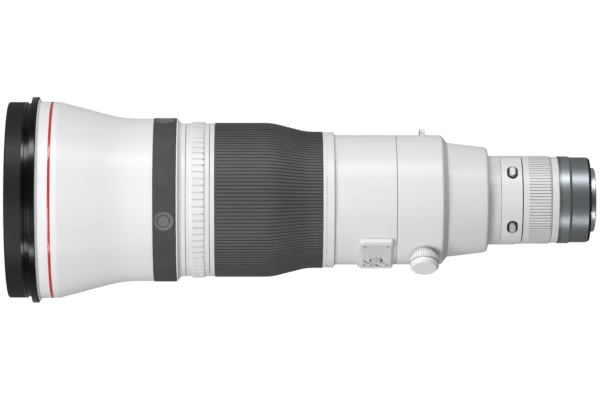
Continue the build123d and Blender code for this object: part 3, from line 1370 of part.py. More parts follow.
# ---------------------------------------------------------------- write every piece
PIECES = {
    "hood_mount_ring": hood_mount_ring(),
    "front_element": front_element(),
    "front_barrel": front_barrel(),
    "button_band": button_band(),
    "button_bezels": button_bezels(),
    "playback_ring": playback_ring(),
    "spacer_ring": spacer_ring(),
    "centre_tube": centre_tube(),
    "focus_ring_sleeve": focus_sleeve(),
    "focus_ring_grip": focus_grip(),
    "rear_grip_ring": rear_grip_ring(),
    "main_barrel": main_barrel(),
    "stabiliser_panel": panel(0),
    "focus_panel": panel(1),
    "panel_screws": panel_screws(),
    "stabiliser_mode_switch": slide_switch(0, STABILISER_MODE),
    "stabiliser_on_switch": slide_switch(0, STABILISER_ON),
    "focus_mode_switch": slide_switch(1, FOCUS_MODE),
    "focus_range_switch": slide_switch(1, FOCUS_RANGE),
    "preset_switch": slide_switch(1, PRESET_MODE),
    "preset_button": preset_button(),
    "collar_ring": collar_ring(),
    "collar_liners": collar_liners(),
    "clamp_shoe": clamp_shoe(),
    "lock_screw": lock_screw(),
    "lock_knob": lock_knob(),
    "strap_lugs": strap_lugs(),
    "tripod_foot": tripod_foot(),
    "foot_screws": foot_screws(),
    "neck_barrel": neck_barrel(),
    "rear_barrel": rear_barrel(),
    "filter_cover": filter_cover(),
    "filter_frame": filter_frame(),
    "filter_glass": filter_glass(),
    "filter_release_left": filter_release(-1),
    "filter_release_right": filter_release(1),
    "control_ring": control_ring(),
    "end_ring": end_ring(),
    "mount_ring": mount_ring(),
    "mount_gasket": mount_gasket(),
    "bayonet_mount": bayonet_mount(),
    "mount_screws": mount_screws(),
    "contact_block": contact_block(),
    "contact_pins": contact_pins(),
    "lens_cells": lens_cells(),
    "inner_lenses": inner_lenses(),
    "focus_rail_frame": focus_rail_frame(),
    "focus_carriage": focus_carriage(),
    "focus_lens": focus_lens(),
    "focus_motor": focus_motor(),
    "stabiliser_frame": stabiliser_frame(),
    "stabiliser_yaw_ring": stabiliser_yaw_ring(),
    "stabiliser_lens_holder": stabiliser_lens_holder(),
    "stabiliser_lens": stabiliser_lens(),
    "aperture_unit": aperture_unit(),
    "circuit_board": circuit_board(),
}
for number, button_angle in enumerate(BUTTON_ANGLES, start=1):
    PIECES[f"function_button_{number}"] = function_button(button_angle)

for node, shape in PIECES.items():
    placed = Pos(-FOOT_X, 0, AXIS_HEIGHT) * shape
    export_step(placed, f"parts/{node}.step")
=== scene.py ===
"""A white super-telephoto lens standing on its tripod foot: its finishes, small pieces, studio and camera.

Everything is in metres in the lens's own frame: +X from the front of the lens to its camera mount, +Z up, and
the origin under the tripod foot. Angles round the barrel run from the top towards the lock knob's side, -Y.
"""

from math import atan, cos, hypot, pi, radians, sin

import bpy
from mathutils import Matrix, Vector


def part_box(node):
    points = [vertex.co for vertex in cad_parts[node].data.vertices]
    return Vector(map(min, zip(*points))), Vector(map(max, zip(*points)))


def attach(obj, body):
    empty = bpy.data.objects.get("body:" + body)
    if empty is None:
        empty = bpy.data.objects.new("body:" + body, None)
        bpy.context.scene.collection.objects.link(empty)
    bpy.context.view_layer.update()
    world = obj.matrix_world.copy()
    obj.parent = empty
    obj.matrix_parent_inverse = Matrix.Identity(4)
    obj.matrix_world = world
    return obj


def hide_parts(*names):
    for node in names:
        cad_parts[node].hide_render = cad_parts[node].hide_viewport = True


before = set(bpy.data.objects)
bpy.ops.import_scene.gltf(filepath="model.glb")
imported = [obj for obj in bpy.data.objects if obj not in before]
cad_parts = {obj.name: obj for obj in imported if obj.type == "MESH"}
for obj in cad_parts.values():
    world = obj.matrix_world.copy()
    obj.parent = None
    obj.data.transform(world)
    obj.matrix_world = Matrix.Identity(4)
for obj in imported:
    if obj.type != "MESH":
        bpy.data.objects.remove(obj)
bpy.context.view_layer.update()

MM = 0.001

# Where the lens's pieces are. A station is a distance behind the front plane.
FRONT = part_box("hood_mount_ring")[0].x
AXIS_HEIGHT = (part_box("hood_mount_ring")[0].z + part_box("hood_mount_ring")[1].z) / 2
PANEL_CENTRE = (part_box("focus_panel")[0].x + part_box("focus_panel")[1].x) / 2
PANEL_FACE = 55.6 * MM
PANEL_ANGLES = (55.0, 90.5)
BAND_START, BAND_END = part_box("button_band")[0].x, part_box("button_band")[1].x
BAND_R = 66.85 * MM
BAND_SEAT_R = 64.9 * MM
KNURL_DEPTH = 0.5 * MM
HOOD_GLOSS_START, HOOD_GLOSS_END = 13.7 * MM, 24.2 * MM
HOOD_REAR_FACE = 24.4 * MM
BUTTON_ANGLES = (15.0, 105.0, 195.0, 285.0)
INDEX_ANGLE = 57.0
INDEX_STATION = 467.5 * MM
MOUNT_R = 34.7 * MM
MOUNT_EDGE_END, MOUNT_BAND_END = 448.6 * MM, 455.4 * MM
RED_STATION = 36.0 * MM
RED_WIDTH = 2.4 * MM
RED_R = 79.98 * MM
CONTROL_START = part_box("control_ring")[0].x - FRONT
CONTROL_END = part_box("control_ring")[1].x - FRONT
CONTROL_R = 35.8 * MM
COVER_R = 35.9 * MM
COVER_WELL_DEPTH = 0.6 * MM
KNOB_STATION = 337.7 * MM
KNOB_ANGLE = 57.0
KNOB_KNURL_BOTTOM, KNOB_KNURL_TOP = 55.75 * MM, 61.85 * MM
KNOB_R = 11.65 * MM
MODE_SLOT_DEPTH = 1.5 * MM


# ---------------------------------------------------------------- shader writing
class Number:
    """A value that varies over a surface. Arithmetic on it adds Math nodes."""

    def __init__(self, finish, socket):
        self.finish = finish
        self.socket = socket

    def math(self, operation, *others):
        made = self.finish.node("ShaderNodeMath", {"operation": operation}, dict(enumerate((self, *others))))
        return Number(self.finish, made.outputs[0])

    def __add__(self, other):
        return self.math("ADD", other)

    def __mul__(self, other):
        return self.math("MULTIPLY", other)

    def __sub__(self, other):
        return self.math("SUBTRACT", other)

    def __rsub__(self, other):
        return (self * -1.0) + other

    def __truediv__(self, other):
        return self.math("DIVIDE", other)

    __radd__ = __add__
    __rmul__ = __mul__

    def rise(self, start, end):
        """Goes smoothly from zero to one as the value goes from start to end."""
        made = self.finish.node("ShaderNodeMapRange", {"interpolation_type": "SMOOTHSTEP"},
                                {"Value": self, "From Min": start, "From Max": end})
        return Number(self.finish, made.outputs["Result"])

    def between(self, start, end, soft):
        """One between start and end, zero outside, with soft edges."""
        return self.rise(start - soft, start) * (1 - self.rise(end, end + soft))


class Finish:
    """A material built round one Principled shader, whose unvarying values are given by socket name."""

    def __init__(self, name, constants):
        self.material = bpy.data.materials.new(name)
        self.material.use_nodes = True
        self.tree = self.material.node_tree
        self.shader = self.tree.nodes["Principled BSDF"]
        for socket, value in constants.items():
            self.shader.inputs[socket].default_value = value
        self.object_place = self.node("ShaderNodeTexCoord")

    def node(self, kind, settings=None, inputs=None):
        """Any node: its settings are set first, then its sockets get values or links."""
        made = self.tree.nodes.new(kind)
        for key, value in (settings or {}).items():
            setattr(made, key, value)
        for key, value in (inputs or {}).items():
            self.feed(made.inputs[key], value)
        return made

    def feed(self, socket, value):
        """Gives a socket a link or a constant."""
        source = getattr(value, "socket", value)
        if isinstance(source, bpy.types.NodeSocket):
            self.tree.links.new(source, socket)
        else:
            socket.default_value = source

    def split(self, socket):
        parts = self.node("ShaderNodeSeparateXYZ", None, {0: socket})
        return [Number(self, output) for output in parts.outputs]

    def barrel_place(self):
        """Station behind the front plane, and the two distances from the optical axis."""
        x, y, z = self.split(self.object_place.outputs["Object"])
        return x - FRONT, y, z - AXIS_HEIGHT

    def barrel_radius(self):
        """Distance from the optical axis."""
        _, y, z = self.barrel_place()
        return (y * y + z * z).math("SQRT")

    def noise(self, scale, detail=2.0, roughness=0.5, stretch=(1.0, 1.0, 1.0)):
        """Fractal noise fixed to the lens, its space stretched along each axis."""
        place = self.node("ShaderNodeVectorMath", {"operation": "MULTIPLY"},
                          {0: self.object_place.outputs["Object"], 1: stretch})
        inputs = {"Vector": place.outputs[0], "Scale": scale, "Detail": detail, "Roughness": roughness}
        return Number(self, self.node("ShaderNodeTexNoise", None, inputs).outputs["Fac"])

    def mix(self, share, first, second):
        """The first colour where share is zero, the second where it is one."""
        made = self.node("ShaderNodeMix", {"data_type": "RGBA"}, {0: share, 6: first, 7: second})
        return made.outputs[2]

    def bump(self, height, depth, strength):
        """Fine relief, depth metres deep."""
        made = self.node("ShaderNodeBump", None, {"Height": height, "Distance": depth, "Strength": strength})
        self.feed(self.shader.inputs["Normal"], made.outputs["Normal"])

    def set(self, socket, value):
        self.feed(self.shader.inputs[socket], value)

    def inward(self):
        """One on surfaces that face the optical axis."""
        _, y, z = self.barrel_place()
        _, normal_y, normal_z = self.split(self.object_place.outputs["Normal"])
        facing = (normal_y * y + normal_z * z) / self.barrel_radius()
        return 1 - facing.rise(-0.35, -0.15)


def tone(red, green=None, blue=None):
    """A colour from its values on a screen, 0 to 255. One value is a grey."""
    screen = (red, red if green is None else green, red if blue is None else blue)
    linear = [((v / 255 + 0.055) / 1.055) ** 2.4 if v > 10 else v / 255 / 12.92 for v in screen]
    return (*linear, 1.0)


# ---------------------------------------------------------------- finishes
def white_enamel(name, paint=tone(234, 234, 235), roughness=0.36, hollow=False, well=None, ink_and_shade=tone(24)):
    """Heat-shielding enamel: fine orange peel, a faint drift in tone, dull flecks of handling.

    well is (radius, its drop at the rear bevel, and the stations where that drop starts and ends). Below that
    radius the enamel is painted the given darker colour, as painted shade in wells and grooves.
    """
    finish = Finish(name, {"Specular IOR Level": 0.45})
    peel = finish.noise(900.0, 3.0, 0.55)
    grain = finish.noise(5200.0, 2.0, 0.6)
    drift = finish.noise(9.0, 3.0, 0.5)
    handled = finish.noise(38.0, 5.0, 0.7).rise(0.55, 0.75)
    colour = finish.mix(drift.rise(0.35, 0.7) * 0.5, paint, tone(229, 229, 230))
    colour = finish.mix(grain.rise(0.62, 0.8) * 0.12, colour, tone(196, 196, 197))
    rough = roughness + peel * 0.06 + handled * 0.05
    if hollow:
        inside = finish.inward()
        colour = finish.mix(inside, colour, tone(22))
        rough = rough + inside * 0.4
    if well:
        # Painted shade: below the well's radius the enamel takes a darker colour that stands in for shade in
        # the recess.
        radius, drop, bevel_start, bevel_end = well
        station, _, _ = finish.barrel_place()
        level = finish.barrel_radius() + station.rise(bevel_start, bevel_end) * drop
        sunk = 1 - level.rise(radius - 0.1 * MM, radius)
        colour = finish.mix(sunk, colour, ink_and_shade)
        rough = rough + sunk * 0.3
    finish.set("Base Color", colour)
    finish.set("Roughness", rough)
    finish.bump(peel * 0.7 + grain * 0.3, 0.00003, 0.5)
    return finish.material


def knurled_enamel():
    """The knob's enamel over its knurl, painted darker in the valleys as painted shade, round the knob's own
    axis.
    """
    finish = Finish("knurled_enamel", {"Specular IOR Level": 0.45})
    station, y, z = finish.barrel_place()
    angle = radians(KNOB_ANGLE)
    along = station - KNOB_STATION
    across = y * cos(angle) + z * sin(angle)
    knob_radius = (along * along + across * across).math("SQRT")
    # Painted shade in the knurl's valleys.
    sunk = 1 - knob_radius.rise(KNOB_R + 0.06 * MM, KNOB_R + 0.2 * MM)
    grain = finish.noise(3600.0, 3.0, 0.6)
    finish.set("Base Color", finish.mix(sunk, tone(230, 230, 229), tone(146, 146, 145)))
    finish.set("Roughness", 0.4 + sunk * 0.2 + grain * 0.06)
    finish.bump(grain, 0.00002, 0.5)
    return finish.material


def hood_anodise():
    """Black anodise: a matt land at the front, lacquered flanges behind it, and a dull rear face painted a
    darker black, partly as painted shade of the gap behind the flange.
    """
    finish = Finish("hood_anodise", {"Specular IOR Level": 0.2, "Coat Roughness": 0.17, "Coat IOR": 1.45})
    station, _, _ = finish.barrel_place()
    glossy = station.between(HOOD_GLOSS_START, HOOD_GLOSS_END, 0.2 * MM)
    behind = station.rise(HOOD_REAR_FACE, HOOD_REAR_FACE + 0.2 * MM)
    grain = finish.noise(3000.0, 3.0, 0.6)
    turned = finish.noise(1.0, 2.0, 0.5, (6000.0, 40.0, 40.0))
    dust = finish.noise(420.0, 4.0, 0.7).rise(0.66, 0.8)
    inside = finish.inward()
    colour = finish.mix(glossy, tone(32, 32, 33), tone(10, 10, 11))
    colour = finish.mix(dust * 0.12, colour, tone(92))
    # The rear face is painted darker, partly its duller black and partly painted shade; the bore's insides
    # are a darker black.
    colour = finish.mix(inside + behind, colour, tone(15))
    rough = 0.4 - glossy * 0.22 + behind * 0.5 + grain * 0.06 + turned * 0.04 + inside * 0.35
    finish.set("Base Color", colour)
    finish.set("Roughness", rough)
    finish.set("Coat Weight", glossy * 0.4 * (1 - inside))
    finish.bump(grain * (1 - glossy) + turned * 0.3, 0.00002, 0.5)
    return finish.material


def grip_rubber(name, base, roughness, valley=None):
    """Moulded rubber: fine matt grain, paler dust on it and a faint bloom.

    valley is the two radii between which the rubber goes from painted shade to its own tone: the knurl's
    valleys are painted dark.
    """
    finish = Finish(name, {"Specular IOR Level": 0.4})
    grain = finish.noise(2600.0, 4.0, 0.65)
    bloom = finish.noise(60.0, 4.0, 0.6).rise(0.4, 0.75)
    dust = finish.noise(1500.0, 2.0, 0.6).rise(0.68, 0.8)
    colour = finish.mix(bloom * 0.25, base, tone(100, 100, 100))
    colour = finish.mix(dust * 0.12, colour, tone(150))
    # Painted shade: the rubber is painted dark below the valley radii.
    if valley:
        sunk = 1 - finish.barrel_radius().rise(*valley)
        colour = finish.mix(sunk * 0.85, colour, tone(38))
    finish.set("Base Color", colour)
    finish.set("Roughness", roughness + grain * 0.12)
    finish.bump(grain, 0.00004, 0.6)
    return finish.material


def turned_metal(name, base, roughness):
    """Metal turned on a lathe: fine rings round the optical axis."""
    finish = Finish(name, {"Metallic": 1.0})
    rings = finish.noise(1.0, 3.0, 0.6, (9000.0, 12.0, 12.0))
    smear = finish.noise(70.0, 4.0, 0.6)
    finish.set("Base Color", finish.mix(rings * 0.25, base, tone(60, 63, 65)))
    finish.set("Roughness", roughness + rings * 0.08 + smear.rise(0.45, 0.8) * 0.06)
    finish.bump(rings, 0.000005, 0.6)
    return finish.material


def mount_enamel():
    """Blue-grey satin metal of the rear ring, with a paler band at its front and a darker front edge, which
    is painted shade.
    """
    finish = Finish("mount_grey_satin", {"Metallic": 0.75, "Specular IOR Level": 0.6})
    station, _, _ = finish.barrel_place()
    band = 1 - station.rise(MOUNT_BAND_END, MOUNT_BAND_END + 1.0 * MM)
    front_edge_shade = 1 - station.rise(MOUNT_EDGE_END, MOUNT_EDGE_END + 1.2 * MM)
    rings = finish.noise(1.0, 3.0, 0.6, (9000.0, 10.0, 10.0))
    grain = finish.noise(4200.0, 2.0, 0.5)
    colour = finish.mix(band, tone(141, 147, 150), tone(160, 165, 167))
    colour = finish.mix(rings * 0.2, colour, tone(92, 98, 102))
    # Painted shade along the front edge.
    colour = finish.mix(front_edge_shade * 0.5, colour, tone(84, 88, 91))
    inside = finish.inward()
    finish.set("Base Color", finish.mix(inside, colour, tone(24)))
    finish.set("Roughness", 0.35 + rings * 0.06 + grain * 0.04 + inside * 0.4)
    finish.bump(grain * 0.5 + rings * 0.5, 0.000012, 0.5)
    return finish.material


def moulded_plastic(name, base, roughness):
    """Moulded plastic with a fine spark-eroded grain."""
    finish = Finish(name, {"Specular IOR Level": 0.45})
    grain = finish.noise(3600.0, 3.0, 0.6)
    drift = finish.noise(30.0, 2.0, 0.5)
    darker = tuple(v * 0.88 for v in base[:3]) + (1.0,)
    finish.set("Base Color", finish.mix(drift.rise(0.4, 0.7) * 0.4, base, darker))
    finish.set("Roughness", roughness + grain * 0.1)
    finish.bump(grain, 0.00002, 0.5)
    return finish.material


def coated_glass(name, tint, film):
    """Multi-coated optical glass; film is the coating's thickness in nanometres."""
    constants = {"IOR": 1.52, "Transmission Weight": 1.0, "Thin Film Thickness": film, "Thin Film IOR": 1.38}
    finish = Finish(name, constants)
    wipe = finish.noise(30.0, 4.0, 0.6, (1.0, 1.0, 4.0))
    speck = finish.noise(900.0, 2.0, 0.5).rise(0.74, 0.8)
    finish.set("Base Color", finish.mix(speck * 0.1, tint, tone(210)))
    finish.set("Roughness", 0.004 + wipe.rise(0.5, 0.8) * 0.012)
    return finish.material


def black_recess(name, base=tone(24), roughness=0.7):
    """Dull black of the insides: anodised tubes and cells."""
    finish = Finish(name, {"Specular IOR Level": 0.35})
    rings = finish.noise(1.0, 2.0, 0.5, (3000.0, 20.0, 20.0))
    finish.set("Base Color", finish.mix(rings * 0.3, base, tone(40)))
    finish.set("Roughness", roughness + rings * 0.1)
    finish.bump(rings, 0.00003, 0.5)
    return finish.material


def legend_ink(name, ink_and_shade, lacquer=0.0):
    """Printed or filled marks, under lacquer where it is asked for."""
    finish = Finish(name, {"Specular IOR Level": 0.4, "Coat Weight": lacquer, "Coat Roughness": 0.12})
    speck = finish.noise(4000.0, 2.0, 0.5)
    darker = tuple(v * 0.8 for v in ink_and_shade[:3]) + (1.0,)
    finish.set("Base Color", finish.mix(speck.rise(0.4, 0.7) * 0.3, ink_and_shade, darker))
    finish.set("Roughness", 0.5 + speck * 0.1)
    return finish.material


def circuit_green():
    """Solder-masked circuit board with paler tracks."""
    finish = Finish("circuit_green", {})
    tracks = finish.noise(260.0, 1.0, 0.4).rise(0.52, 0.56)
    finish.set("Base Color", finish.mix(tracks, tone(22, 72, 44), tone(46, 104, 62)))
    finish.set("Roughness", 0.45 - tracks * 0.1)
    finish.bump(tracks, 0.00003, 0.6)
    return finish.material


# Radii below which the enamel and the band's rubber are painted darker, as painted shade in recesses, grooves
# and knurl valleys.
COVER_WELL = (COVER_R - COVER_WELL_DEPTH, 0.0, CONTROL_START, CONTROL_END)
CONTROL_WELL = (CONTROL_R - 0.4 * MM, 0.7 * MM, CONTROL_END - 1.6 * MM, CONTROL_END)
KNURL_VALLEY = (BAND_R - KNURL_DEPTH, BAND_R - 0.3 * KNURL_DEPTH)

WHITE = white_enamel("white_enamel", hollow=True)
# Painted shade: the release buttons' wells and the cover's other recesses below the well radius are painted
# dark grey.
COVER_WHITE = white_enamel("cover_enamel", hollow=True, well=COVER_WELL, ink_and_shade=tone(64))
# Painted shade: the rear barrel's enamel is a darker copy of the white, for the neck's shadow on it, and its
# recesses below the well radius are painted near black.
REAR_SHADED_WHITE = white_enamel("rear_barrel_painted_shade_enamel", tone(222, 222, 223), hollow=True, well=COVER_WELL)
RING_WHITE = white_enamel("ring_enamel", tone(231, 231, 232), 0.34)
# Painted shade: the control ring's grooves are painted a little darker than its enamel.
CONTROL_WHITE = white_enamel("control_enamel", tone(230, 230, 231), 0.34, well=CONTROL_WELL, ink_and_shade=tone(226))
KNOB_WHITE = white_enamel("knob_enamel", tone(240, 240, 239), 0.42)
KNURL_WHITE = knurled_enamel()
PANEL_WHITE = moulded_plastic("panel_plastic", tone(222, 222, 221), 0.36)
HOOD_BLACK = hood_anodise()
GRIP_RUBBER = grip_rubber("focus_grip_rubber", tone(84), 0.54)
BAND_RUBBER = grip_rubber("knurled_band_rubber", tone(75), 0.56, KNURL_VALLEY)
BEZEL_RUBBER = grip_rubber("bezel_rubber", tone(112), 0.46)
BUTTON_RUBBER = grip_rubber("button_rubber", tone(108), 0.46)
SWITCH_GREY = moulded_plastic("switch_plastic", tone(212, 212, 211), 0.4)
BLACK_PLASTIC = moulded_plastic("black_plastic", tone(30), 0.5)
LINER_PLASTIC = moulded_plastic("liner_plastic", tone(206, 204, 196), 0.5)
MOUNT_GREY = mount_enamel()
CHROME = turned_metal("bayonet_chrome", tone(224, 223, 222), 0.36)
SILVER = turned_metal("release_button_silver", tone(204, 204, 203), 0.42)
STEEL = turned_metal("screw_steel", tone(186, 186, 186), 0.28)
PANEL_STEEL = turned_metal("panel_screw_steel", tone(234, 234, 233), 0.55)
BLACK_STEEL = turned_metal("blackened_steel", tone(60), 0.38)
GOLD = turned_metal("contact_gold", tone(226, 188, 112), 0.2)
GASKET_RUBBER = black_recess("gasket_rubber", tone(10), 0.8)
INNER_BLACK = black_recess("inner_black")
FRONT_GLASS = coated_glass("front_glass", tone(236, 244, 240), 420.0)
INNER_GLASS = coated_glass("inner_glass", tone(240, 240, 246), 330.0)
BOARD_GREEN = circuit_green()
# Black for printed marks, and for the painted shadow blocks in the mode slot.
MARK_AND_SHADE_BLACK = legend_ink("mark_and_shade_black", tone(34))
MARK_RED = legend_ink("mark_red", tone(196, 34, 46))
RING_RED = legend_ink("ring_red", tone(200, 30, 45), 1.0)

NODE_FINISHES = {
    WHITE: ("front_barrel", "main_barrel", "neck_barrel", "collar_ring", "strap_lugs", "tripod_foot",
            "rear_grip_ring"),
    COVER_WHITE: ("filter_cover",),
    REAR_SHADED_WHITE: ("rear_barrel",),
    RING_WHITE: ("playback_ring", "spacer_ring", "end_ring"),
    CONTROL_WHITE: ("control_ring",),
    KNOB_WHITE: ("lock_knob",),
    PANEL_WHITE: ("stabiliser_panel", "focus_panel"),
    HOOD_BLACK: ("hood_mount_ring",),
    GRIP_RUBBER: ("focus_ring_grip",),
    BEZEL_RUBBER: ("button_bezels",),
    BUTTON_RUBBER: ("function_button_1", "function_button_2", "function_button_3", "function_button_4"),
    SWITCH_GREY: ("stabiliser_mode_switch", "stabiliser_on_switch", "focus_mode_switch", "focus_range_switch",
                  "preset_switch", "preset_button"),
    BLACK_PLASTIC: ("clamp_shoe", "filter_frame", "contact_block", "focus_carriage", "stabiliser_yaw_ring",
                    "stabiliser_lens_holder", "aperture_unit"),
    LINER_PLASTIC: ("collar_liners",),
    MOUNT_GREY: ("mount_ring",),
    CHROME: ("bayonet_mount",),
    SILVER: ("filter_release_left", "filter_release_right"),
    STEEL: ("mount_screws", "lock_screw", "focus_motor"),
    PANEL_STEEL: ("panel_screws",),
    BLACK_STEEL: ("foot_screws",),
    GOLD: ("contact_pins",),
    GASKET_RUBBER: ("mount_gasket",),
    INNER_BLACK: ("centre_tube", "focus_ring_sleeve", "lens_cells", "focus_rail_frame", "stabiliser_frame"),
    FRONT_GLASS: ("front_element",),
    INNER_GLASS: ("inner_lenses", "focus_lens", "stabiliser_lens", "filter_glass"),
    BOARD_GREEN: ("circuit_board",),
}
for material, nodes in NODE_FINISHES.items():
    for node in nodes:
        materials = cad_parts[node].data.materials
        materials.clear()
        materials.append(material)


# ---------------------------------------------------------------- pieces
def piece(name, points, faces, material, body, smooth=True):
    """A mesh object in the lens's frame that rides on a body."""
    mesh = bpy.data.meshes.new(name)
    mesh.from_pydata(points, [], faces)
    mesh.validate()
    mesh.polygons.foreach_set("use_smooth", [smooth] * len(mesh.polygons))
    mesh.materials.append(material)
    made = bpy.data.objects.new(name, mesh)
    bpy.context.scene.collection.objects.link(made)
    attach(made, body)
    return made


def on_barrel(station, angle, radius):
    """A point at a station behind the front plane, an angle in radians from the top and a radius."""
    return (FRONT + station, -radius * sin(angle), AXIS_HEIGHT + radius * cos(angle))


def hoop_faces(steps, count):
    """The faces of a closed hoop of steps closed sections with count points each."""
    faces = []
    for i in range(steps):
        here, following = i * count, (i + 1) % steps * count
        for j in range(count):
            k = (j + 1) % count
            faces.append((here + j, here + k, following + k, following + j))
    return faces


def red_ring():
    """The red line round the cone: a fine inlaid band with bevelled edges."""
    half, steps = RED_WIDTH / 2, 256
    sunk, proud, edge = 0.3 * MM, 0.1 * MM, 0.12 * MM
    section = [
        (RED_STATION - half, RED_R - sunk),
        (RED_STATION - half, RED_R + proud - edge),
        (RED_STATION - half + edge, RED_R + proud),
        (RED_STATION + half - edge, RED_R + proud),
        (RED_STATION + half, RED_R + proud - edge),
        (RED_STATION + half, RED_R - sunk),
    ]
    points = []
    for i in range(steps):
        points += [on_barrel(station, 2 * pi * i / steps, radius) for station, radius in section]
    piece("red_ring", points, hoop_faces(steps, len(section)), RING_RED, "barrel")


def knurled_band():
    """The rubber band with its staggered diamond knurl, pulled in under the buttons' bezels."""
    pitch_x, teeth, samples = 2.38 * MM, 164, 8
    bezel_edge, bezel_fade, bezel_cover = 7.7 * MM, 0.9 * MM, 7.25 * MM
    rim_width, rim_drop, floor_rise = 0.7 * MM, 0.4 * MM, 0.2 * MM
    start, end = BAND_START - FRONT, BAND_END - FRONT
    width = end - start
    columns = round(width / pitch_x) * samples
    steps = teeth * samples
    middle = (start + end) / 2
    centres = [radians(angle) for angle in BUTTON_ANGLES]
    points = []
    for i in range(steps):
        turn = 2 * pi * i / steps
        gaps = [abs((turn - centre + pi) % (2 * pi) - pi) * BAND_R for centre in centres]
        from_button = min(gaps)
        points.append(on_barrel(start, turn, BAND_SEAT_R))
        for j in range(columns + 1):
            station = start + width * j / columns
            wave = cos(2 * pi * (station - middle) / pitch_x) * cos(2 * pi * i / samples)
            away = hypot(from_button, station - middle)
            shown = min(1.0, max(0.0, (away - bezel_edge) / bezel_fade))
            edge = min(1.0, min(station - start, end - station) / rim_width)
            radius = BAND_R - KNURL_DEPTH * (0.5 - 0.5 * wave) * shown - rim_drop * (1 - edge) ** 2
            if away < bezel_cover:
                radius = BAND_SEAT_R + floor_rise
            points.append(on_barrel(station, turn, radius))
        points.append(on_barrel(end, turn, BAND_SEAT_R))
    made = piece("knurled_band", points, hoop_faces(steps, columns + 3), BAND_RUBBER, "barrel")
    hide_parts("button_band")


def knob_knurl():
    """The fine knurl round the lock knob: a sleeve of beaded ribs over its fluted waist."""
    rows, teeth, across, samples = 4, 36, 4, 4
    proud, depth, rim_drop, root = 0.4 * MM, 0.36 * MM, 0.35 * MM, KNOB_R - 0.9 * MM
    angle = radians(KNOB_ANGLE)
    out = Vector((0.0, -sin(angle), cos(angle)))
    round_ = Vector((0.0, cos(angle), sin(angle)))
    foot = Vector(on_barrel(KNOB_STATION, 0.0, 0.0))
    height = KNOB_KNURL_TOP - KNOB_KNURL_BOTTOM
    steps, columns = teeth * across, rows * samples
    points = []
    for i in range(steps):
        turn = 2 * pi * i / steps
        away = Vector((cos(turn), 0.0, 0.0)) + round_ * sin(turn)
        points.append(tuple(foot + out * KNOB_KNURL_BOTTOM + away * root))
        for j in range(columns + 1):
            wave = 0.7 * cos(2 * pi * i / across) + 0.3 * cos(2 * pi * j / samples)
            edge = min(1.0, min(j, columns - j) / 2)
            radius = KNOB_R + proud - depth * (0.5 - 0.5 * wave) - rim_drop * (1 - edge) ** 2
            points.append(tuple(foot + out * (KNOB_KNURL_BOTTOM + height * j / columns) + away * radius))
        points.append(tuple(foot + out * KNOB_KNURL_TOP + away * root))
    faces = [face[::-1] for face in hoop_faces(steps, columns + 3)]
    piece("knob_knurl", points, faces, KNURL_WHITE, "lock_knob")


def on_panel(panel, x, t, lift=0.0):
    """The matrix that puts a flat mark on a switch panel: x along the lens and t round it, in millimetres.

    The first panel is the one nearer the top, and t grows away from the top. lift is in metres.
    """
    angle = radians(PANEL_ANGLES[panel])
    out = Vector((0.0, -sin(angle), cos(angle)))
    up = Vector((0.0, cos(angle), sin(angle)))
    place = Vector((PANEL_CENTRE + x * MM, 0.0, AXIS_HEIGHT)) + out * (PANEL_FACE + lift) - up * (t * MM)
    return Matrix.Translation(place) @ Matrix((Vector((1, 0, 0)), up, out)).transposed().to_4x4()


def joined_marks(name, parts):
    """One black piece on the barrel from several (mesh data, matrix) parts."""
    points, faces = [], []
    for mesh, matrix in parts:
        base = len(points)
        points += [tuple(matrix @ vertex.co) for vertex in mesh.vertices]
        faces += [tuple(base + index for index in polygon.vertices) for polygon in mesh.polygons]
    piece(name, points, faces, MARK_AND_SHADE_BLACK, "barrel", smooth=False)


def lettering(text, size):
    """Mesh of a generic word or number, size millimetres high, centred, with a little thickness."""
    curve = bpy.data.curves.new("legend", "FONT")
    curve.body = text
    curve.size = size * MM
    curve.extrude = 0.02 * MM
    curve.align_x = "CENTER"
    curve.align_y = "CENTER"
    carrier = bpy.data.objects.new("legend", curve)
    mesh = bpy.data.meshes.new_from_object(carrier)
    bpy.data.objects.remove(carrier)
    return mesh


def rounded_mark(length, width, corner):
    """Mesh of a flat rounded rectangle with a bevelled edge, sized in millimetres, in its own XY plane."""
    thick, bevel = 0.04, 0.02
    points, faces = [], []
    rings = ((0.0, -thick), (0.0, thick - bevel), (bevel, thick))
    steps = 6
    for inset, height in rings:
        for quarter in range(4):
            sign_x = 1 if quarter in (0, 3) else -1
            sign_y = 1 if quarter in (0, 1) else -1
            for i in range(steps + 1):
                angle = pi / 2 * (quarter + i / steps)
                x = sign_x * (length / 2 - corner) + (corner - inset) * cos(angle)
                y = sign_y * (width / 2 - corner) + (corner - inset) * sin(angle)
                points.append((x * MM, y * MM, height * MM))
    count = 4 * (steps + 1)
    for ring in range(len(rings) - 1):
        low, high = ring * count, (ring + 1) * count
        for i in range(count):
            k = (i + 1) % count
            faces.append((low + i, low + k, high + k, high + i))
    faces.append(tuple(range(count))[::-1])
    faces.append(tuple(range((len(rings) - 1) * count, len(rings) * count)))
    mesh = bpy.data.meshes.new("mark")
    mesh.from_pydata(points, [], faces)
    return mesh


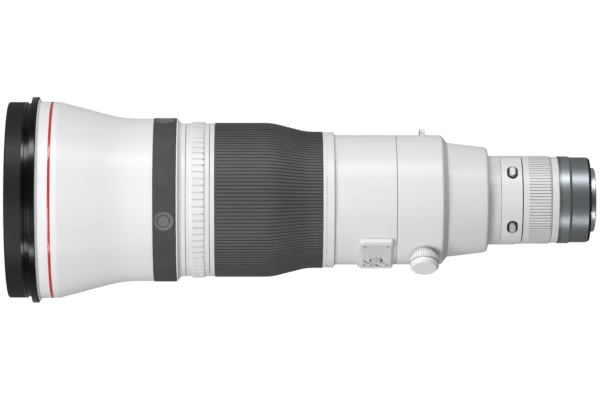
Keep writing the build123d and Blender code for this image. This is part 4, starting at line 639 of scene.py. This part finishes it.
def panel_legends():
    """Numbers, ON and OFF, and index ticks by the switches, and dark blocks in the mode slot either side of
    its slider, which are painted shadow.
    """
    dash, tick, slot_shade_block = (0.9, 0.35, 0.12), (0.4, 1.3, 0.12), (1.5, 1.9, 0.3)
    number_row, word_row = 1.2, 11.4
    number_size, word_size = 2.3, 1.25
    face_marks = [
        (lettering("1", number_size), on_panel(0, -4.5, number_row)),
        (lettering("2", number_size), on_panel(0, 0.0, number_row)),
        (lettering("3", number_size), on_panel(0, 4.5, number_row)),
        (lettering("ON", word_size), on_panel(0, -6.6, word_row)),
        (lettering("OFF", word_size), on_panel(0, 6.6, word_row)),
    ]
    for x in (-2.25, 2.25):
        face_marks.append((rounded_mark(*dash), on_panel(0, x, number_row)))
    for x in (-1.9, 1.9):
        face_marks.append((rounded_mark(*tick), on_panel(1, x, -12.4)))
        face_marks.append((rounded_mark(*tick), on_panel(1, x - 4.6, 9.8)))
    for x in (-3.8, 0.0, 3.8):
        face_marks.append((rounded_mark(*tick), on_panel(1, x, -4.5)))
    joined_marks("panel_legends", face_marks)
    # Painted shadow: dark blocks on the mode slot's floor either side of the slider.
    slot_shade_blocks = [(rounded_mark(*slot_shade_block), on_panel(0, x, 8.7, -MODE_SLOT_DEPTH)) for x in (-4.4, 4.6)]
    joined_marks("mode_slot_painted_shadow", slot_shade_blocks)


def mount_index():
    """The red dome that shows how the bayonet lines up."""
    radius, height, rings, steps = 1.15 * MM, 0.4 * MM, 6, 28
    sunk, root = 0.25 * MM, 0.2 * MM
    angle = radians(INDEX_ANGLE)
    out = Vector((0.0, -sin(angle), cos(angle)))
    round_ = Vector((0.0, cos(angle), sin(angle)))
    centre = Vector(on_barrel(INDEX_STATION, angle, MOUNT_R - sunk))
    points, faces = [], []
    for ring in range(rings):
        share = ring / rings
        reach = radius * cos(pi / 2 * share)
        lift = height * sin(pi / 2 * share)
        for i in range(steps):
            turn = 2 * pi * i / steps
            away = Vector((1, 0, 0)) * reach * cos(turn) + round_ * reach * sin(turn)
            points.append(tuple(centre + out * lift + away))
    points.append(tuple(centre + out * height))
    points.append(tuple(centre - out * root))
    for ring in range(rings - 1):
        low, high = ring * steps, (ring + 1) * steps
        for i in range(steps):
            k = (i + 1) % steps
            faces.append((low + i, low + k, high + k, high + i))
    top, bottom, last = len(points) - 2, len(points) - 1, (rings - 1) * steps
    for i in range(steps):
        k = (i + 1) % steps
        faces.append((last + i, last + k, top))
        faces.append((k, i, bottom))
    piece("mount_index", points, faces, MARK_RED, "barrel")


red_ring()
knurled_band()
knob_knurl()
panel_legends()
mount_index()


# ---------------------------------------------------------------- studio
def floor():
    """A wide floor that keeps the lens's shadow. It shows white, and fainter in metal and glass."""
    reach, cells = 6.0, 24
    shown, shown_in_metal, glow_strength = 0.9, 0.1, 1.12
    points = [(-reach + 2 * reach * i / cells, -reach + 2 * reach * j / cells, 0.0)
              for i in range(cells + 1) for j in range(cells + 1)]
    row = cells + 1
    faces = [(i * row + j, (i + 1) * row + j, (i + 1) * row + j + 1, i * row + j + 1)
             for i in range(cells) for j in range(cells)]
    mesh = bpy.data.meshes.new("studio_floor")
    mesh.from_pydata(points, [], faces)
    made = bpy.data.objects.new("studio_floor", mesh)
    bpy.context.scene.collection.objects.link(made)
    finish = Finish("studio_floor", {"Base Color": tone(100), "Roughness": 0.9, "Specular IOR Level": 0.1})
    rays = finish.node("ShaderNodeLightPath")
    seen = Number(finish, rays.outputs["Is Camera Ray"])
    glossy = Number(finish, rays.outputs["Is Glossy Ray"])
    through = Number(finish, rays.outputs["Is Transmission Ray"])
    share = (seen * shown + (glossy + through) * shown_in_metal).math("MINIMUM", shown)
    glow = finish.node("ShaderNodeEmission", None, {"Color": (1.0, 1.0, 1.0, 1.0), "Strength": glow_strength})
    shaders = {0: share, 1: finish.shader.outputs[0], 2: glow.outputs[0]}
    blend = finish.node("ShaderNodeMixShader", None, shaders)
    finish.feed(finish.tree.nodes["Material Output"].inputs["Surface"], blend.outputs[0])
    mesh.materials.append(finish.material)


def sky():
    """White behind the lens. Its own light is faint, and a little fainter overhead than at the sides."""
    at_sides, overhead = 0.1, 0.08
    world = bpy.data.worlds.new("studio")
    world.use_nodes = True
    bpy.context.scene.world = world
    tree = world.node_tree
    tree.nodes.clear()
    place = tree.nodes.new("ShaderNodeTexCoord")
    split = tree.nodes.new("ShaderNodeSeparateXYZ")
    tree.links.new(place.outputs["Generated"], split.inputs[0])
    up = tree.nodes.new("ShaderNodeMapRange")
    up.interpolation_type = "SMOOTHSTEP"
    up.inputs["To Min"].default_value = at_sides
    up.inputs["To Max"].default_value = overhead
    tree.links.new(split.outputs["Z"], up.inputs["Value"])
    rays = tree.nodes.new("ShaderNodeLightPath")
    dim = tree.nodes.new("ShaderNodeBackground")
    tree.links.new(up.outputs["Result"], dim.inputs["Strength"])
    white = tree.nodes.new("ShaderNodeBackground")
    blend = tree.nodes.new("ShaderNodeMixShader")
    tree.links.new(rays.outputs["Is Camera Ray"], blend.inputs[0])
    tree.links.new(dim.outputs[0], blend.inputs[1])
    tree.links.new(white.outputs[0], blend.inputs[2])
    output = tree.nodes.new("ShaderNodeOutputWorld")
    tree.links.new(blend.outputs[0], output.inputs["Surface"])


def soft_box(name, place, aim, length, width, radiance):
    """An area lamp that shines from place to aim, its long side as near along X as it can be."""
    lamp = bpy.data.lights.new(name, "AREA")
    lamp.shape = "RECTANGLE"
    lamp.size = length
    lamp.size_y = width
    lamp.energy = radiance * pi * length * width
    made = bpy.data.objects.new(name, lamp)
    bpy.context.scene.collection.objects.link(made)
    back = (Vector(place) - Vector(aim)).normalized()
    side = (Vector((1, 0, 0)) - back * back.x).normalized()
    turned = Matrix((side, back.cross(side), back)).transposed().to_4x4()
    made.matrix_world = Matrix.Translation(place) @ turned
    made.visible_camera = False


def camera():
    """Straight above the lens, looking down, with the lens's front to the left."""
    height, station = 3.066, 0.19825
    frame_width, sensor_width = 0.49024, 36.0
    lens = bpy.data.cameras.new("studio_camera")
    lens.sensor_width = sensor_width
    lens.lens = sensor_width * height / frame_width
    lens.shift_x = 0.0802
    lens.shift_y = -0.00033
    lens.clip_end = 50.0
    lens.dof.use_dof = False
    made = bpy.data.objects.new("studio_camera", lens)
    made.location = (FRONT + station, 0.0, AXIS_HEIGHT + height)
    bpy.context.scene.collection.objects.link(made)
    bpy.context.scene.camera = made


floor()
sky()
soft_box("upper_strip", (-0.55, 1.61, 1.115), (-0.55, 0.0, AXIS_HEIGHT), 2.6, 0.5, 9.6)
soft_box("lower_strip", (-0.45, -1.61, 1.115), (-0.45, 0.0, AXIS_HEIGHT), 2.6, 0.3, 7.6)
soft_box("front_key", (-0.6, -0.36, 0.9), (0.0, 0.0, AXIS_HEIGHT), 0.5, 0.5, 6.2)
camera()

bpy.context.scene.view_settings.view_transform = "Standard"
